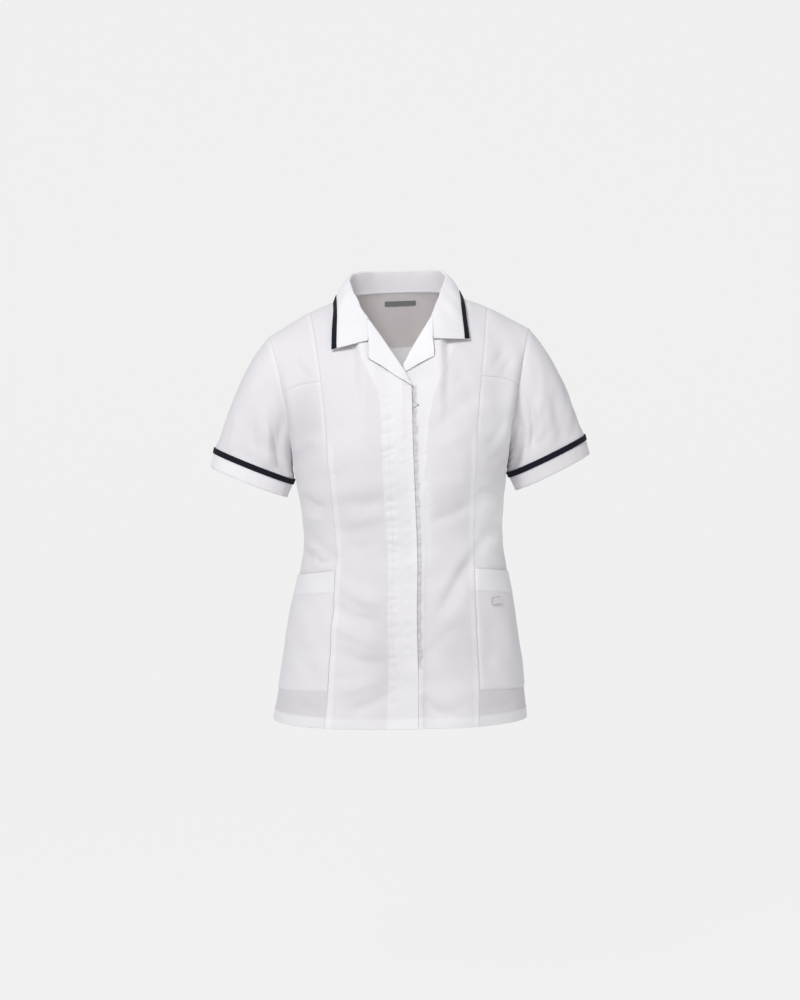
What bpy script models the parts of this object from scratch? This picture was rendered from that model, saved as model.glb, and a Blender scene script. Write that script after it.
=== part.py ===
"""A short-sleeved work tunic, held open in the shape it has when it is worn.

Metres, +Z up, the front faces -Y and +X is the wearer's left. Z = 0 is about half way
along the shoulder seams, where a wearer carries the garment. Every piece of cloth is a
wall: a grid of points on one smooth body form, and the same grid moved in by the cloth's
thickness. The form has two coordinates: "across" runs from 0 at the centre front or back
to 1 at the side seam and armhole, and "up" from 0 at the hem to 1 at the underarm and on
to 2 at the shoulder and neck.
"""

import math

import bpy
import numpy as np

# Cloth and seams
CLOTH = 0.0012
THICK_CLOTH = 0.0016
TAPE_CLOTH = 0.0010
GAP = 0.0003
HALF_GAP = GAP / 2

# Heights
HEM_Z = -0.656
UNDERARM_Z = -0.230
YOKE_Z = -0.050
HEM_BAND = 0.017
HEM_STEP = 0.0005
STEP_RUN = 0.0008

# The form's own landmarks, as shares of the way across
LABEL_ACROSS = 0.083
GORGE_ACROSS = 0.20
NECK_ACROSS = 0.30
SEAM_ACROSS = 0.50

# Rings of the body from the hem to the underarm
RING_COLUMNS = (
    "z", "half_width", "front_depth", "back_depth", "front_power", "back_power",
    "front_seam_x", "back_seam_x",
)
RINGS = (
    (-0.656, 0.2085, 0.143, 0.140, 2.35, 2.45, 0.1230, 0.105),
    (-0.620, 0.2035, 0.141, 0.139, 2.35, 2.45, 0.1215, 0.101),
    (-0.580, 0.1980, 0.138, 0.136, 2.35, 2.42, 0.1198, 0.097),
    (-0.530, 0.1905, 0.134, 0.130, 2.35, 2.40, 0.1172, 0.092),
    (-0.480, 0.1833, 0.130, 0.120, 2.35, 2.35, 0.1145, 0.086),
    (-0.420, 0.1705, 0.126, 0.107, 2.40, 2.30, 0.1125, 0.080),
    (-0.365, 0.1628, 0.127, 0.100, 2.50, 2.30, 0.1110, 0.078),
    (-0.310, 0.1655, 0.134, 0.102, 2.65, 2.35, 0.1125, 0.083),
    (-0.265, 0.1713, 0.141, 0.107, 2.75, 2.45, 0.1140, 0.092),
    (-0.230, 0.1765, 0.143, 0.112, 2.80, 2.55, 0.1160, 0.100),
)

# Upper ends of the form's columns, and the pull with which they arrive there
TOP_COLUMNS = ("across", "x", "y", "z", "pull_x", "pull_y", "pull_z")
FRONT_TOP = (
    (0.00, 0.0000, -0.112, -0.0845, 0.000, 0.050, 0.110),
    (0.08, 0.0205, -0.093, -0.0525, 0.000, 0.062, 0.125),
    (GORGE_ACROSS, 0.0525, -0.060, -0.0045, 0.000, 0.105, 0.110),
    (0.25, 0.0680, -0.030, 0.0190, 0.004, 0.140, 0.050),
    (NECK_ACROSS, 0.0800, 0.010, 0.0340, 0.008, 0.150, 0.000),
    (0.40, 0.1130, 0.011, 0.0240, 0.010, 0.160, 0.000),
    (SEAM_ACROSS, 0.1450, 0.011, 0.0110, 0.012, 0.170, 0.000),
    (0.65, 0.1680, 0.010, -0.0010, 0.016, 0.185, 0.000),
    (0.82, 0.1910, 0.009, -0.0140, 0.020, 0.210, 0.000),
    (1.00, 0.2130, 0.008, -0.0265, 0.024, 0.240, 0.000),
)
BACK_TOP = (
    (0.00, 0.0000, 0.0700, 0.0395, 0.000, -0.030, 0.080),
    (0.12, 0.0340, 0.0650, 0.0394, 0.002, -0.045, 0.070),
    (GORGE_ACROSS, 0.0580, 0.0480, 0.0385, 0.004, -0.080, 0.045),
    (0.25, 0.0700, 0.0310, 0.0370, 0.006, -0.120, 0.015),
) + tuple((a, x, y, z, -px, -py, pz) for a, x, y, z, px, py, pz in FRONT_TOP[4:])

# The armhole leaves the underarm forwards and back
ARMHOLE_PULL = (-0.010, 0.240, 0.110)
ARMHOLE_TURN_FROM = 0.62
CHEST_PULL = 0.95

# Front opening: the right front laps over the left
BREAK_X, BREAK_Z = 0.0155, -0.1105
EDGE_HEM_X = 0.0255
ZIP_CLEAR = 0.0010
LAP_DEPTH = CLOTH + TAPE_CLOTH + 2 * ZIP_CLEAR
LAP_FLAT_X, LAP_END_X = 0.032, 0.080
LAP_TOP_Z, LAP_FULL_Z = -0.060, -0.105

# Zip behind the lap
ZIP_HALF = 0.011
ZIP_TOP_Z, ZIP_BOTTOM_Z = -0.128, -0.556
ZIP_EAR_X, ZIP_EAR_Z, ZIP_EAR_HALF = 0.0285, -0.1400, 0.0065

# Seams across the side fronts
CHEST_SEAM = {"princess_z": -0.099, "armhole_z": -0.118}

# Hip pockets, which fill the side fronts from seam to seam
POCKET = {
    "mouth_princess_z": -0.404,
    "mouth_side_z": -0.421,
    "band": 0.035,
    "foot_princess_z": -0.598,
    "foot_side_z": -0.607,
    "band_step": 0.0006,
    "lift": 0.0006,
}
POCKET_TAB = {"x": 0.1520, "z": -0.4580, "width": 0.015, "height": 0.0105}

# Sleeves
CUFF = {
    "x": 0.2508, "z": -0.2606, "tilt_deg": 24.0, "half_width": 0.0700, "half_depth": 0.0490, "hem_in": 0.0050,
}
CUFF_BAND = 0.0275
CUFF_TAPE = 0.0080
CUFF_TAPE_CLEAR = 0.0008
SLEEVE_LEAVE_COLUMNS = ("turn", "x", "y", "z", "reach")
SLEEVE_LEAVE = (
    (0.00, 0.660, 0.000, -0.750, 0.230),
    (0.12, 0.760, -0.220, -0.610, 0.200),
    (0.25, 0.800, -0.260, -0.540, 0.150),
    (0.38, 0.640, -0.260, -0.720, 0.095),
    (0.50, 0.120, 0.000, -0.993, 0.050),
    (0.62, 0.640, 0.260, -0.720, 0.095),
    (0.75, 0.800, 0.260, -0.540, 0.150),
    (0.88, 0.760, 0.220, -0.610, 0.200),
    (1.00, 0.660, 0.000, -0.750, 0.230),
)
SLEEVE_ARRIVE = 0.75
SLEEVE_CALM = 0.12

# Revers: the fronts turned back along the roll line
REVERS = {"corner_x": 0.0530, "corner_z": -0.0650, "notch_x": 0.0510, "notch_z": -0.0385}
ROLL_RADIUS = 0.0024
ROLL_CLEAR = 0.0005
ROLL_ANGLES = np.radians((-90, -50, -10, 35, 80))
# The roll is flatter at its foot, and the lapped one's line runs on below the V
ROLL_FOOT, ROLL_FOOT_RUN = 0.42, 0.30
ROLL_BELOW_V = 0.27
REVERS_CLEAR = 0.0008
REVERS_BELLY = 0.0016
REVERS_ROWS = 11
REVERS_SHARES = np.array((0.05, 0.20, 0.40, 0.60, 0.80, 1.00))
# The left one's foot goes under the right front beside the V
UNDER_FOOT_X = 0.0035
UNDER_FOOT_SAG = 0.0092

# Collar, half of it, from the centre back round to the gorge seam
COLLAR_COLUMNS = ("along", "fold_x", "fold_y", "fold_z", "edge_x", "edge_y", "edge_z")
NECK_ALONG = 0.48
COLLAR_TIP = 0.84
COLLAR = (
    (0.00, 0.0000, 0.0750, 0.0700, 0.0000, 0.0905, 0.0240),
    (0.14, 0.0350, 0.0697, 0.0698, 0.0420, 0.0855, 0.0240),
    (0.28, 0.0620, 0.0515, 0.0690, 0.0760, 0.0640, 0.0250),
    (0.38, 0.0730, 0.0340, 0.0670, 0.0930, 0.0390, 0.0265),
    (NECK_ALONG, 0.0775, 0.0120, 0.0600, 0.1030, 0.0060, 0.0290),
    (0.60, 0.0730, -0.0110, 0.0460, 0.1060, -0.0260, 0.0130),
    (0.72, 0.0660, -0.0320, 0.0290, 0.1085, -0.0520, -0.0130),
    (COLLAR_TIP, 0.0600, -0.0470, 0.0130, 0.1110, -0.0760, -0.0450),
    (0.92, 0.0560, -0.0550, 0.0025, 0.0820, -0.0880, -0.0412),
    (1.00, 0.0525, -0.0620, -0.0065, 0.0515, -0.0945, -0.0375),
)
COLLAR_LIFT = 0.0006
COLLAR_ROLL = 0.0026
COLLAR_BELLY, COLLAR_BELLY_FULL = 0.0040, 0.050
COLLAR_HALF_COLUMNS = 12
COLLAR_END_ALONGS = (0.88, 0.92, 0.96, 1.0)
STAND_SHARES = (0, 0.40, 0.75)
FOLD_ANGLES = np.radians((0, 45, 90, 135))
FALL_SHARES = np.array((0.14, 0.32, 0.55)) / 0.78
# Towards the gorge the stand turns until it leaves the front squarely, as the revers does
GORGE_TURN_FROM, GORGE_TURN_TO = 0.74, 0.92
GORGE_JOIN_FROM = 0.78
# Where the collar's rows end along the gorge seam
GORGE_PLACES = (0, 0.03, 0.06, 0.09, 0.13, 0.17, 0.21, 0.34, 0.52, 0.70, 0.80, 0.97, 1.0)
GORGE_GAP = 0.0006
# The collar's front follows the slope of the chest: how much it rises and sets back to one side
COLLAR_SKEW = {"rise": 0.050, "back": 0.040, "from": 0.35, "run": 0.45}
COLLAR_TAPE = {"width": 0.0078, "margin": 0.0010, "clear": 0.0004}

# Neck label, as shares of the yoke's height inside the back neck
LABEL_ROWS = (0.68, 0.84)
LABEL_CLEAR = 0.0005

# The pose: the shoulders tilt up on the wearer's left, and the waist sways that way
POSE_COLUMNS = ("z", "tilt", "shift")
POSE = (
    (-0.660, 0.008, 0.0000),
    (-0.600, 0.008, 0.0025),
    (-0.480, 0.010, 0.0035),
    (-0.380, 0.018, 0.0055),
    (-0.300, 0.028, 0.0030),
    (-0.240, 0.033, 0.0008),
    (-0.060, 0.033, -0.0008),
    (0.030, 0.033, -0.0030),
    (0.080, 0.033, -0.0042),
)

# Large soft folds on the body, troughs (+) and ridges (-): start x and z, end x and z, half width, depth
FRONT_FOLDS = (
    (0.092, -0.235, 0.080, -0.255, 0.052, -0.0060),
    (-0.092, -0.235, -0.080, -0.255, 0.052, -0.0060),
    (0.060, -0.330, 0.045, -0.640, 0.030, 0.0030),
    (-0.075, -0.340, -0.060, -0.640, 0.032, 0.0034),
    (0.100, -0.480, 0.108, -0.645, 0.026, -0.0034),
    (-0.100, -0.500, -0.106, -0.645, 0.028, -0.0030),
    (-0.155, -0.345, -0.118, -0.385, 0.012, 0.0030),
    (0.150, -0.340, 0.120, -0.372, 0.012, 0.0028),
)
BACK_FOLDS = (
    (0.050, -0.120, 0.095, -0.210, 0.026, 0.0035),
    (-0.050, -0.120, -0.095, -0.210, 0.026, 0.0035),
    (0.055, -0.400, 0.062, -0.645, 0.034, -0.0040),
    (-0.050, -0.410, -0.060, -0.645, 0.034, -0.0045),
    (0.000, -0.430, 0.006, -0.640, 0.030, 0.0035),
    (-0.140, -0.330, -0.060, -0.372, 0.016, 0.0035),
    (0.140, -0.335, 0.060, -0.368, 0.016, 0.0030),
)

# Sleeve folds: start turn and way down, end turn and way down, half width as a turn, depth
RIGHT_SLEEVE_FOLDS = (
    (0.330, 0.10, 0.395, 0.90, 0.030, 0.0050),
    (0.245, 0.22, 0.300, 0.95, 0.040, -0.0030),
    (0.190, 0.45, 0.220, 1.00, 0.030, 0.0022),
    (0.660, 0.10, 0.610, 0.90, 0.035, 0.0045),
    (0.760, 0.30, 0.735, 0.95, 0.045, 0.0030),
)
LEFT_SLEEVE_FOLDS = (
    (0.325, 0.08, 0.400, 0.85, 0.028, 0.0055),
    (0.260, 0.15, 0.300, 0.75, 0.026, 0.0032),
    (0.205, 0.35, 0.225, 1.00, 0.034, -0.0030),
    (0.670, 0.12, 0.610, 0.90, 0.035, 0.0045),
    (0.780, 0.35, 0.750, 0.95, 0.045, 0.0032),
)

# How finely each piece is divided
BODY_ROWS = 19
CHEST_ROWS = 6
SHOULDER_ROWS = 5
FRONT_PANEL_COLUMNS = 9
SIDE_PANEL_COLUMNS = 6
SIDE_BACK_COLUMNS = 7
POCKET_ROWS = 7
WAIST_ROWS = 9
SLEEVE_ROWS = 9
ZIP_ROWS = 18
BACK_COLUMNS = (LABEL_ACROSS, 0.17, 0.24, NECK_ACROSS, 0.40, SEAM_ACROSS)
YOKE_SHARES = np.array((0, 0.34) + LABEL_ROWS + (1,))
ROOT = "work tunic"


def column(table, names, name):
    """One named column of a table, as an array."""
    return np.array([row[names.index(name)] for row in table])


def through(at, keys, values):
    """A smooth curve through a table's values, read at any places."""
    at = np.clip(np.asarray(at, float), keys[0], keys[-1])
    slopes = np.gradient(values, keys)
    i = np.clip(np.searchsorted(keys, at, side="right") - 1, 0, len(keys) - 2)
    run = keys[i + 1] - keys[i]
    t = (at - keys[i]) / run
    rise = t * t * (3 - 2 * t)
    leave, arrive = t * (1 - t) ** 2, t * t * (t - 1)
    return values[i] * (1 - rise) + values[i + 1] * rise + run * (slopes[i] * leave + slopes[i + 1] * arrive)


def ease(t):
    """0 below 0, 1 above 1, and smooth in between."""
    t = np.clip(t, 0, 1)
    return t * t * (3 - 2 * t)


def ring(name, z):
    return through(z, column(RINGS, RING_COLUMNS, "z"), column(RINGS, RING_COLUMNS, name))


def ring_point(across, z, face):
    """A point of the body below the underarm. face is -1 for the front and 1 for the back."""
    side = "front" if face < 0 else "back"
    half = ring("half_width", z)
    depth, power, seam = ring(side + "_depth", z), ring(side + "_power", z), ring(side + "_seam_x", z)
    # Straight shares of x up to the princess seam, then equal turns round to the side seam
    at_seam = np.arcsin((seam / half) ** (power / 2))
    turn = at_seam + (math.pi / 2 - at_seam) * np.clip((across - SEAM_ACROSS) / (1 - SEAM_ACROSS), 0, 1)
    x = np.where(across < SEAM_ACROSS, seam * across / SEAM_ACROSS, half * np.sin(turn) ** (2 / power))
    y = face * depth * np.clip(1 - (x / half) ** power, 0, 1) ** (1 / power)
    return np.stack([x, y, np.broadcast_to(z, x.shape)], -1)


def top_vector(across, face, names):
    """Read from the form's upper ends; the neckline and the shoulder meet there at a corner."""
    table = FRONT_TOP if face < 0 else BACK_TOP
    keys = column(table, TOP_COLUMNS, "across")
    corner = int(np.argmin(np.abs(keys - NECK_ACROSS)))
    found = []
    for name in names:
        values = column(table, TOP_COLUMNS, name)
        neck = through(across, keys[: corner + 1], values[: corner + 1])
        shoulder = through(across, keys[corner:], values[corner:])
        found.append(np.where(across <= NECK_ACROSS, neck, shoulder))
    return np.stack(found, -1)


def chest_point(across, rise, face):
    """A point above the underarm: rise is 0 on the underarm ring and 1 at the neck or shoulder."""
    below, step = ring_point(across, UNDERARM_Z, face), 0.004
    slope = (below - ring_point(across, UNDERARM_Z - step, face)) / step
    end = top_vector(across, face, ("x", "y", "z"))
    arrive = top_vector(across, face, ("pull_x", "pull_y", "pull_z"))
    reach = np.linalg.norm(end - below, axis=-1, keepdims=True)
    turned = ease((across - ARMHOLE_TURN_FROM) / (1 - ARMHOLE_TURN_FROM))[..., None]
    pull = np.array(ARMHOLE_PULL) * (1, face, 1)
    leave = slope * reach * CHEST_PULL * (1 - turned) + pull * turned
    t = rise[..., None]
    on = t * t * (3 - 2 * t)
    return below * (1 - on) + end * on + leave * t * (1 - t) ** 2 + arrive * t * t * (t - 1)


def fold_depth(x, z, folds):
    """How far the folds move the cloth in at a place seen from the front."""
    moved = np.zeros(np.shape(x))
    for x0, z0, x1, z1, half_width, depth in folds:
        run_x, run_z = x1 - x0, z1 - z0
        length = run_x**2 + run_z**2
        near = np.clip(((x - x0) * run_x + (z - z0) * run_z) / length, 0, 1)
        off = np.hypot(x - x0 - near * run_x, z - z0 - near * run_z)
        moved += depth * np.exp(-((off / half_width) ** 2))
    return moved


def smooth_body(across, up, face):
    """The body form without its folds. across may be negative, which is the wearer's right."""
    across, up = np.broadcast_arrays(np.asarray(across, float), np.asarray(up, float))
    far = np.abs(across)
    z = HEM_Z + np.clip(up, 0, 1) * (UNDERARM_Z - HEM_Z)
    low, high = ring_point(far, z, face), chest_point(far, np.clip(up - 1, 0, 1), face)
    found = np.where((up > 1)[..., None], high, low)
    found[..., 0] *= np.where(across < 0, -1, 1)
    return found


def unit(vectors):
    return vectors / np.maximum(np.linalg.norm(vectors, axis=-1, keepdims=True), 1e-12)


def smooth_normal(across, up, face):
    step = 0.002
    a0, a1 = np.clip(across - step, -1, 1), np.clip(across + step, -1, 1)
    u0, u1 = np.clip(up - step, 0, 2), np.clip(up + step, 0, 2)
    over = smooth_body(a1, up, face) - smooth_body(a0, up, face)
    rise = smooth_body(across, u1, face) - smooth_body(across, u0, face)
    return unit(np.cross(over, rise) * -face)


def body(across, up, face, out=0.0):
    """Points on the folded body form, moved out along its normals."""
    across, up = np.broadcast_arrays(np.asarray(across, float), np.asarray(up, float))
    at, normal = smooth_body(across, up, face), smooth_normal(across, up, face)
    folds = FRONT_FOLDS if face < 0 else BACK_FOLDS
    # No fold reaches the side seams, where front and back have to meet
    calm = ease((1 - np.abs(across)) / 0.25)
    moved = np.asarray(out) - calm * fold_depth(at[..., 0], at[..., 2], folds)
    return at + normal * moved[..., None]


def place(x, z, face):
    """The form's own coordinates of a place seen from the front or back."""
    x, z = np.broadcast_arrays(np.asarray(x, float), np.asarray(z, float))
    across = np.clip(x / 0.24, -0.98, 0.98)
    up = np.where(z < UNDERARM_Z, (z - HEM_Z) / (UNDERARM_Z - HEM_Z), 1 + (z - UNDERARM_Z) / 0.24)
    step = 1e-4
    for _ in range(30):
        here = smooth_body(across, up, face)
        by_across = (smooth_body(across + step, up, face) - here) / step
        by_up = (smooth_body(across, up + step, face) - here) / step
        miss_x, miss_z = x - here[..., 0], z - here[..., 2]
        det = by_across[..., 0] * by_up[..., 2] - by_across[..., 2] * by_up[..., 0]
        det = np.where(np.abs(det) < 1e-9, 1e-9, det)
        across = across + np.clip((miss_x * by_up[..., 2] - miss_z * by_up[..., 0]) / det, -0.1, 0.1)
        up = up + np.clip((miss_z * by_across[..., 0] - miss_x * by_across[..., 2]) / det, -0.1, 0.1)
        across, up = np.clip(across, -0.999, 0.999), np.clip(up, 0, 1.9998)
    return across, up


def up_at(across, z, face):
    """How far up a column reaches a height."""
    low, high = np.zeros(np.shape(across)), np.full(np.shape(across), 2.0)
    for _ in range(40):
        middle = (low + high) / 2
        under = smooth_body(across, middle, face)[..., 2] < z
        low, high = np.where(under, middle, low), np.where(under, high, middle)
    return (low + high) / 2


def inset(grid, sides, distance=HALF_GAP):
    """The grid with some of its edges pulled in, which leaves the gap at a seam."""
    grid = grid.copy()
    ends = {"bottom": (np.s_[0], np.s_[1]), "top": (np.s_[-1], np.s_[-2])}
    ends |= {"left": (np.s_[:, 0], np.s_[:, 1]), "right": (np.s_[:, -1], np.s_[:, -2])}
    for side in sides:
        edge, inner = ends[side]
        way = grid[inner] - grid[edge]
        grid[edge] += way / np.linalg.norm(way, axis=-1, keepdims=True) * distance
    return grid


def lean(points):
    """The pose's tilt and sway, as a shear that changes with height."""
    keys, z = column(POSE, POSE_COLUMNS, "z"), points[..., 2]
    points = points.copy()
    points[..., 2] += points[..., 0] * through(z, keys, column(POSE, POSE_COLUMNS, "tilt"))
    points[..., 0] += through(z, keys, column(POSE, POSE_COLUMNS, "shift"))
    return points


def colour(name, rgb, roughness):
    """A plain material with the piece's colour."""
    material = bpy.data.materials.get(name) or bpy.data.materials.new(name)
    material.use_nodes = True
    shader = material.node_tree.nodes["Principled BSDF"]
    shader.inputs["Base Color"].default_value = (*rgb, 1)
    shader.inputs["Roughness"].default_value = roughness
    shader.inputs["Metallic"].default_value = 0
    return material


def wall(name, outer, inner, material, round_it=False):
    """A closed cloth wall between two grids of points. round_it joins the last column to the first."""
    rows, columns = outer.shape[:2]
    if outer_faces_in(outer, inner):
        outer, inner = outer[:, ::-1], inner[:, ::-1]
    points = lean(np.concatenate([outer.reshape(-1, 3), inner.reshape(-1, 3)]))
    far = rows * columns
    index = np.arange(far).reshape(rows, columns)
    if round_it:
        index = np.concatenate([index, index[:, :1]], axis=1)
    low_left, low_right = index[:-1, :-1].ravel(), index[:-1, 1:].ravel()
    high_left, high_right = index[1:, :-1].ravel(), index[1:, 1:].ravel()
    # Both sides split along the same diagonal, so the wall keeps its thickness
    faces = [np.stack([low_left, low_right, high_right, high_left], 1)]
    faces.append(np.stack([low_left, high_left, high_right, low_right], 1) + far)
    rims = [(index[0, 1:], index[0, :-1]), (index[-1, :-1], index[-1, 1:])]
    if not round_it:
        rims += [(index[:-1, 0], index[1:, 0]), (index[1:, -1], index[:-1, -1])]
    faces += [np.stack([start, end, end + far, start + far], 1) for start, end in rims]
    mesh = bpy.data.meshes.new(name)
    mesh.from_pydata(points.tolist(), [], np.concatenate(faces).tolist())
    mesh.materials.append(material)
    mesh.shade_smooth()
    mesh.set_sharp_from_angle(angle=math.radians(40))
    piece = bpy.data.objects.new(name, mesh)
    bpy.data.collections[ROOT].objects.link(piece)
    return piece


def outer_faces_in(outer, inner):
    """Whether the grid's own winding turns the outer side inwards."""
    r, c = (n // 2 for n in outer.shape[:2])
    r, c = min(r, outer.shape[0] - 2), min(c, outer.shape[1] - 2)
    over, rise = outer[r, c + 1] - outer[r, c], outer[r + 1, c] - outer[r, c]
    return np.dot(np.cross(over, rise), outer[r, c] - inner[r, c]) < 0


def body_wall(name, across, up, face, material, seams, out=0.0, thickness=CLOTH):
    """A wall whose grid lies on the body form."""
    outer = inset(body(across, up, face, out), seams)
    inner = inset(body(across, up, face, np.asarray(out) - thickness), seams)
    return wall(name, outer, inner, material)


def grid_normals(grid, round_it=False):
    """Normals of a free grid from its neighbouring points."""
    if round_it:
        over = np.roll(grid, -1, axis=1) - np.roll(grid, 1, axis=1)
    else:
        over = np.gradient(grid, axis=1)
    return unit(np.cross(over, np.gradient(grid, axis=0)))


def body_rows():
    """Shares of the height from hem to underarm, with a close pair where the hem's fold ends."""
    full = UNDERARM_Z - HEM_Z
    fold = HEM_BAND / full
    plain = np.linspace(fold, 1, BODY_ROWS)[1:]
    return np.concatenate([[0, fold, fold + STEP_RUN / full], plain])


def hem_step(up):
    """The hem is turned up inside, so it stands a little prouder."""
    fold = HEM_BAND / (UNDERARM_Z - HEM_Z)
    return np.where(np.asarray(up) <= fold + 1e-6, HEM_STEP, 0.0)


def upper_rows(middle):
    """Shares of the height above the underarm, with a row on the seam at middle."""
    return np.concatenate([np.linspace(0, middle, CHEST_ROWS)[1:], np.linspace(middle, 1, SHOULDER_ROWS)[1:]])


def chest_seam_z(across):
    """The height of the seam across a side front."""
    share = (np.abs(across) - SEAM_ACROSS) / (1 - SEAM_ACROSS)
    return CHEST_SEAM["princess_z"] + (CHEST_SEAM["armhole_z"] - CHEST_SEAM["princess_z"]) * share**1.4


def chest_seam_up(across):
    return up_at(across, chest_seam_z(across), -1)


def edge_x(z):
    """The front edge of the lap, which runs slightly outwards to the hem."""
    return EDGE_HEM_X + (BREAK_X - EDGE_HEM_X) * (z - HEM_Z) / (BREAK_Z - HEM_Z)


def roll_z(x):
    """The roll line's height below the foot of the V, on the lapped side."""
    foot_z = FRONT_TOP[0][3]
    return foot_z + (BREAK_Z - foot_z) * x / BREAK_X


def front_grid():
    """A front's grid from its edge to the princess seam. The lap lies at negative across."""
    seam_rise = float(chest_seam_up(np.array(SEAM_ACROSS))) - 1
    low, high = body_rows(), upper_rows(seam_rise)
    z = HEM_Z + low * (UNDERARM_Z - HEM_Z)
    lap = -place(edge_x(z), z, -1)[0]
    over, rise = [], []
    # Two columns on the lap, which stops at the roll line
    for part in (1.0, 0.5):
        top_x = BREAK_X * part
        top_over, top_up = place(top_x, roll_z(top_x), -1)
        start = lap[-1] * part
        over.append(np.concatenate([lap * part, start - (float(top_over) + start) * high]))
        rise.append(np.concatenate([low, 1 + high * (float(top_up) - 1)]))
    for share in np.linspace(0, SEAM_ACROSS, FRONT_PANEL_COLUMNS - 1):
        rise.append(np.concatenate([low, 1 + high]))
        over.append(np.full(len(rise[-1]), share))
    return np.array(over).T, np.array(rise).T


def lap_depth(points):
    """How far in the left front lies, so that the right front and the zip fit over it."""
    side = 1 - ease((points[..., 0] - LAP_FLAT_X) / (LAP_END_X - LAP_FLAT_X))
    down = ease((LAP_TOP_Z - points[..., 2]) / (LAP_TOP_Z - LAP_FULL_Z))
    return LAP_DEPTH * side * down


def make_fronts(white):
    across, up = front_grid()
    seams = ("right", "top")
    body_wall("front_right", -across, up, -1, white, seams, out=hem_step(up))
    under = -lap_depth(smooth_body(across, up, -1))
    body_wall("front_left", across, up, -1, white, seams, out=under + hem_step(up))


def make_zip(white):
    """The closed zip's tape between the fronts; its folded top end looks out past the lap."""
    ear = (ZIP_EAR_Z - ZIP_EAR_HALF, ZIP_EAR_Z, ZIP_EAR_Z + ZIP_EAR_HALF, ZIP_TOP_Z)
    z = np.concatenate([np.linspace(ZIP_BOTTOM_Z, ear[0], ZIP_ROWS)[:-1], ear])
    share = np.clip(1 - np.abs(z - ZIP_EAR_Z) / ZIP_EAR_HALF, 0, 1)
    right = ZIP_HALF + (ZIP_EAR_X - ZIP_HALF) * share
    x = -ZIP_HALF + (right + ZIP_HALF)[:, None] * np.linspace(0, 1, 4)
    across, up = place(x, np.broadcast_to(z[:, None], x.shape), -1)
    out = -(CLOTH + ZIP_CLEAR)
    body_wall("zip_tape", across, up, -1, white, (), out=out, thickness=TAPE_CLOTH)


def side_rows():
    """Heights of a side front's rows at the princess seam and at the side seam."""
    fold = HEM_Z + HEM_BAND
    hem = (HEM_Z, fold, fold + STEP_RUN)
    ends = []
    for end in ("princess", "side"):
        mouth, foot = POCKET[f"mouth_{end}_z"], POCKET[f"foot_{end}_z"]
        band = mouth - POCKET["band"]
        bag = np.linspace(foot, band - STEP_RUN, POCKET_ROWS)
        above = np.linspace(mouth, UNDERARM_Z, WAIST_ROWS)
        ends.append(np.concatenate([hem, bag, [band, (band + mouth) / 2], above]))
    return np.array(ends), len(hem), len(ends[0]) - WAIST_ROWS


def side_front_grid():
    across = np.linspace(SEAM_ACROSS, 1, SIDE_PANEL_COLUMNS)
    (princess, side), foot_row, mouth_row = side_rows()
    share = (across - SEAM_ACROSS) / (1 - SEAM_ACROSS)
    z = princess[:, None] * (1 - share) + side[:, None] * share
    up = (z - HEM_Z) / (UNDERARM_Z - HEM_Z)
    return across, up, foot_row, mouth_row


def make_side_fronts(white):
    across, low, foot_row, mouth_row = side_front_grid()
    seam = chest_seam_up(across)
    chest = 1 + np.linspace(0, 1, CHEST_ROWS)[1:, None] * (seam - 1)
    upper = seam + np.linspace(0, 1, SHOULDER_ROWS)[:, None] * (2 - seam)
    lower = np.concatenate([low, chest])
    hem = hem_step(lower)
    for name, sign in (("left", 1), ("right", -1)):
        over = sign * across[None]
        body_wall(f"side_front_lower_{name}", over, lower, -1, white, ("left", "right", "top"), out=hem)
        body_wall(f"side_front_upper_{name}", over, upper, -1, white, ("left", "top", "bottom"))
        make_pocket(f"pocket_{name}", over, low[foot_row : mouth_row + 1], white)


def make_pocket(name, across, up, white):
    """A pocket on the side front's own points, moved out; its turned band is a little thicker."""
    thickness = np.full(up.shape, CLOTH)
    thickness[-3:] += POCKET["band_step"]
    lift = POCKET["lift"]
    inner = inset(body(across, up, -1, lift), ("left", "right"), 2 * GAP)
    outer = inset(body(across, up, -1, lift + thickness), ("left", "right"), 2 * GAP)
    wall(name, outer, inner, white)


def back_rows(across):
    """Rows of the back from hem to yoke seam, and of the yoke with the label's own rows."""
    seam = up_at(across, YOKE_Z, 1)
    chest = 1 + np.linspace(0, 1, CHEST_ROWS)[1:, None] * (seam - 1)
    lower = np.concatenate([np.repeat(body_rows()[:, None], len(across), axis=1), chest])
    return lower, seam + YOKE_SHARES[:, None] * (2 - seam)


def make_back(white, grey):
    half = np.array(BACK_COLUMNS)
    centre = np.concatenate([-half[::-1], [0], half])
    side = np.linspace(SEAM_ACROSS, 1, SIDE_BACK_COLUMNS)
    rows = back_rows(centre)[0]
    body_wall("back_centre", centre[None], rows, 1, white, ("left", "right", "top"), out=hem_step(rows))
    rows = back_rows(side)[0]
    for name, sign in (("left", 1), ("right", -1)):
        seams = ("left", "right", "top")
        body_wall(f"side_back_{name}", sign * side[None], rows, 1, white, seams, out=hem_step(rows))
    across = np.concatenate([-side[:0:-1], centre, side[1:]])
    rows = back_rows(across)[1]
    body_wall("back_yoke", across[None], rows, 1, white, ("bottom", "top"))
    # The label lies on the yoke's own points, moved in
    under = np.abs(across) <= LABEL_ACROSS + 1e-9
    out = -(CLOTH + LABEL_CLEAR)
    rows = rows[2:4, under]
    body_wall("neck_label", across[None, under], rows, 1, grey, (), out=out, thickness=TAPE_CLOTH)


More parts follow.
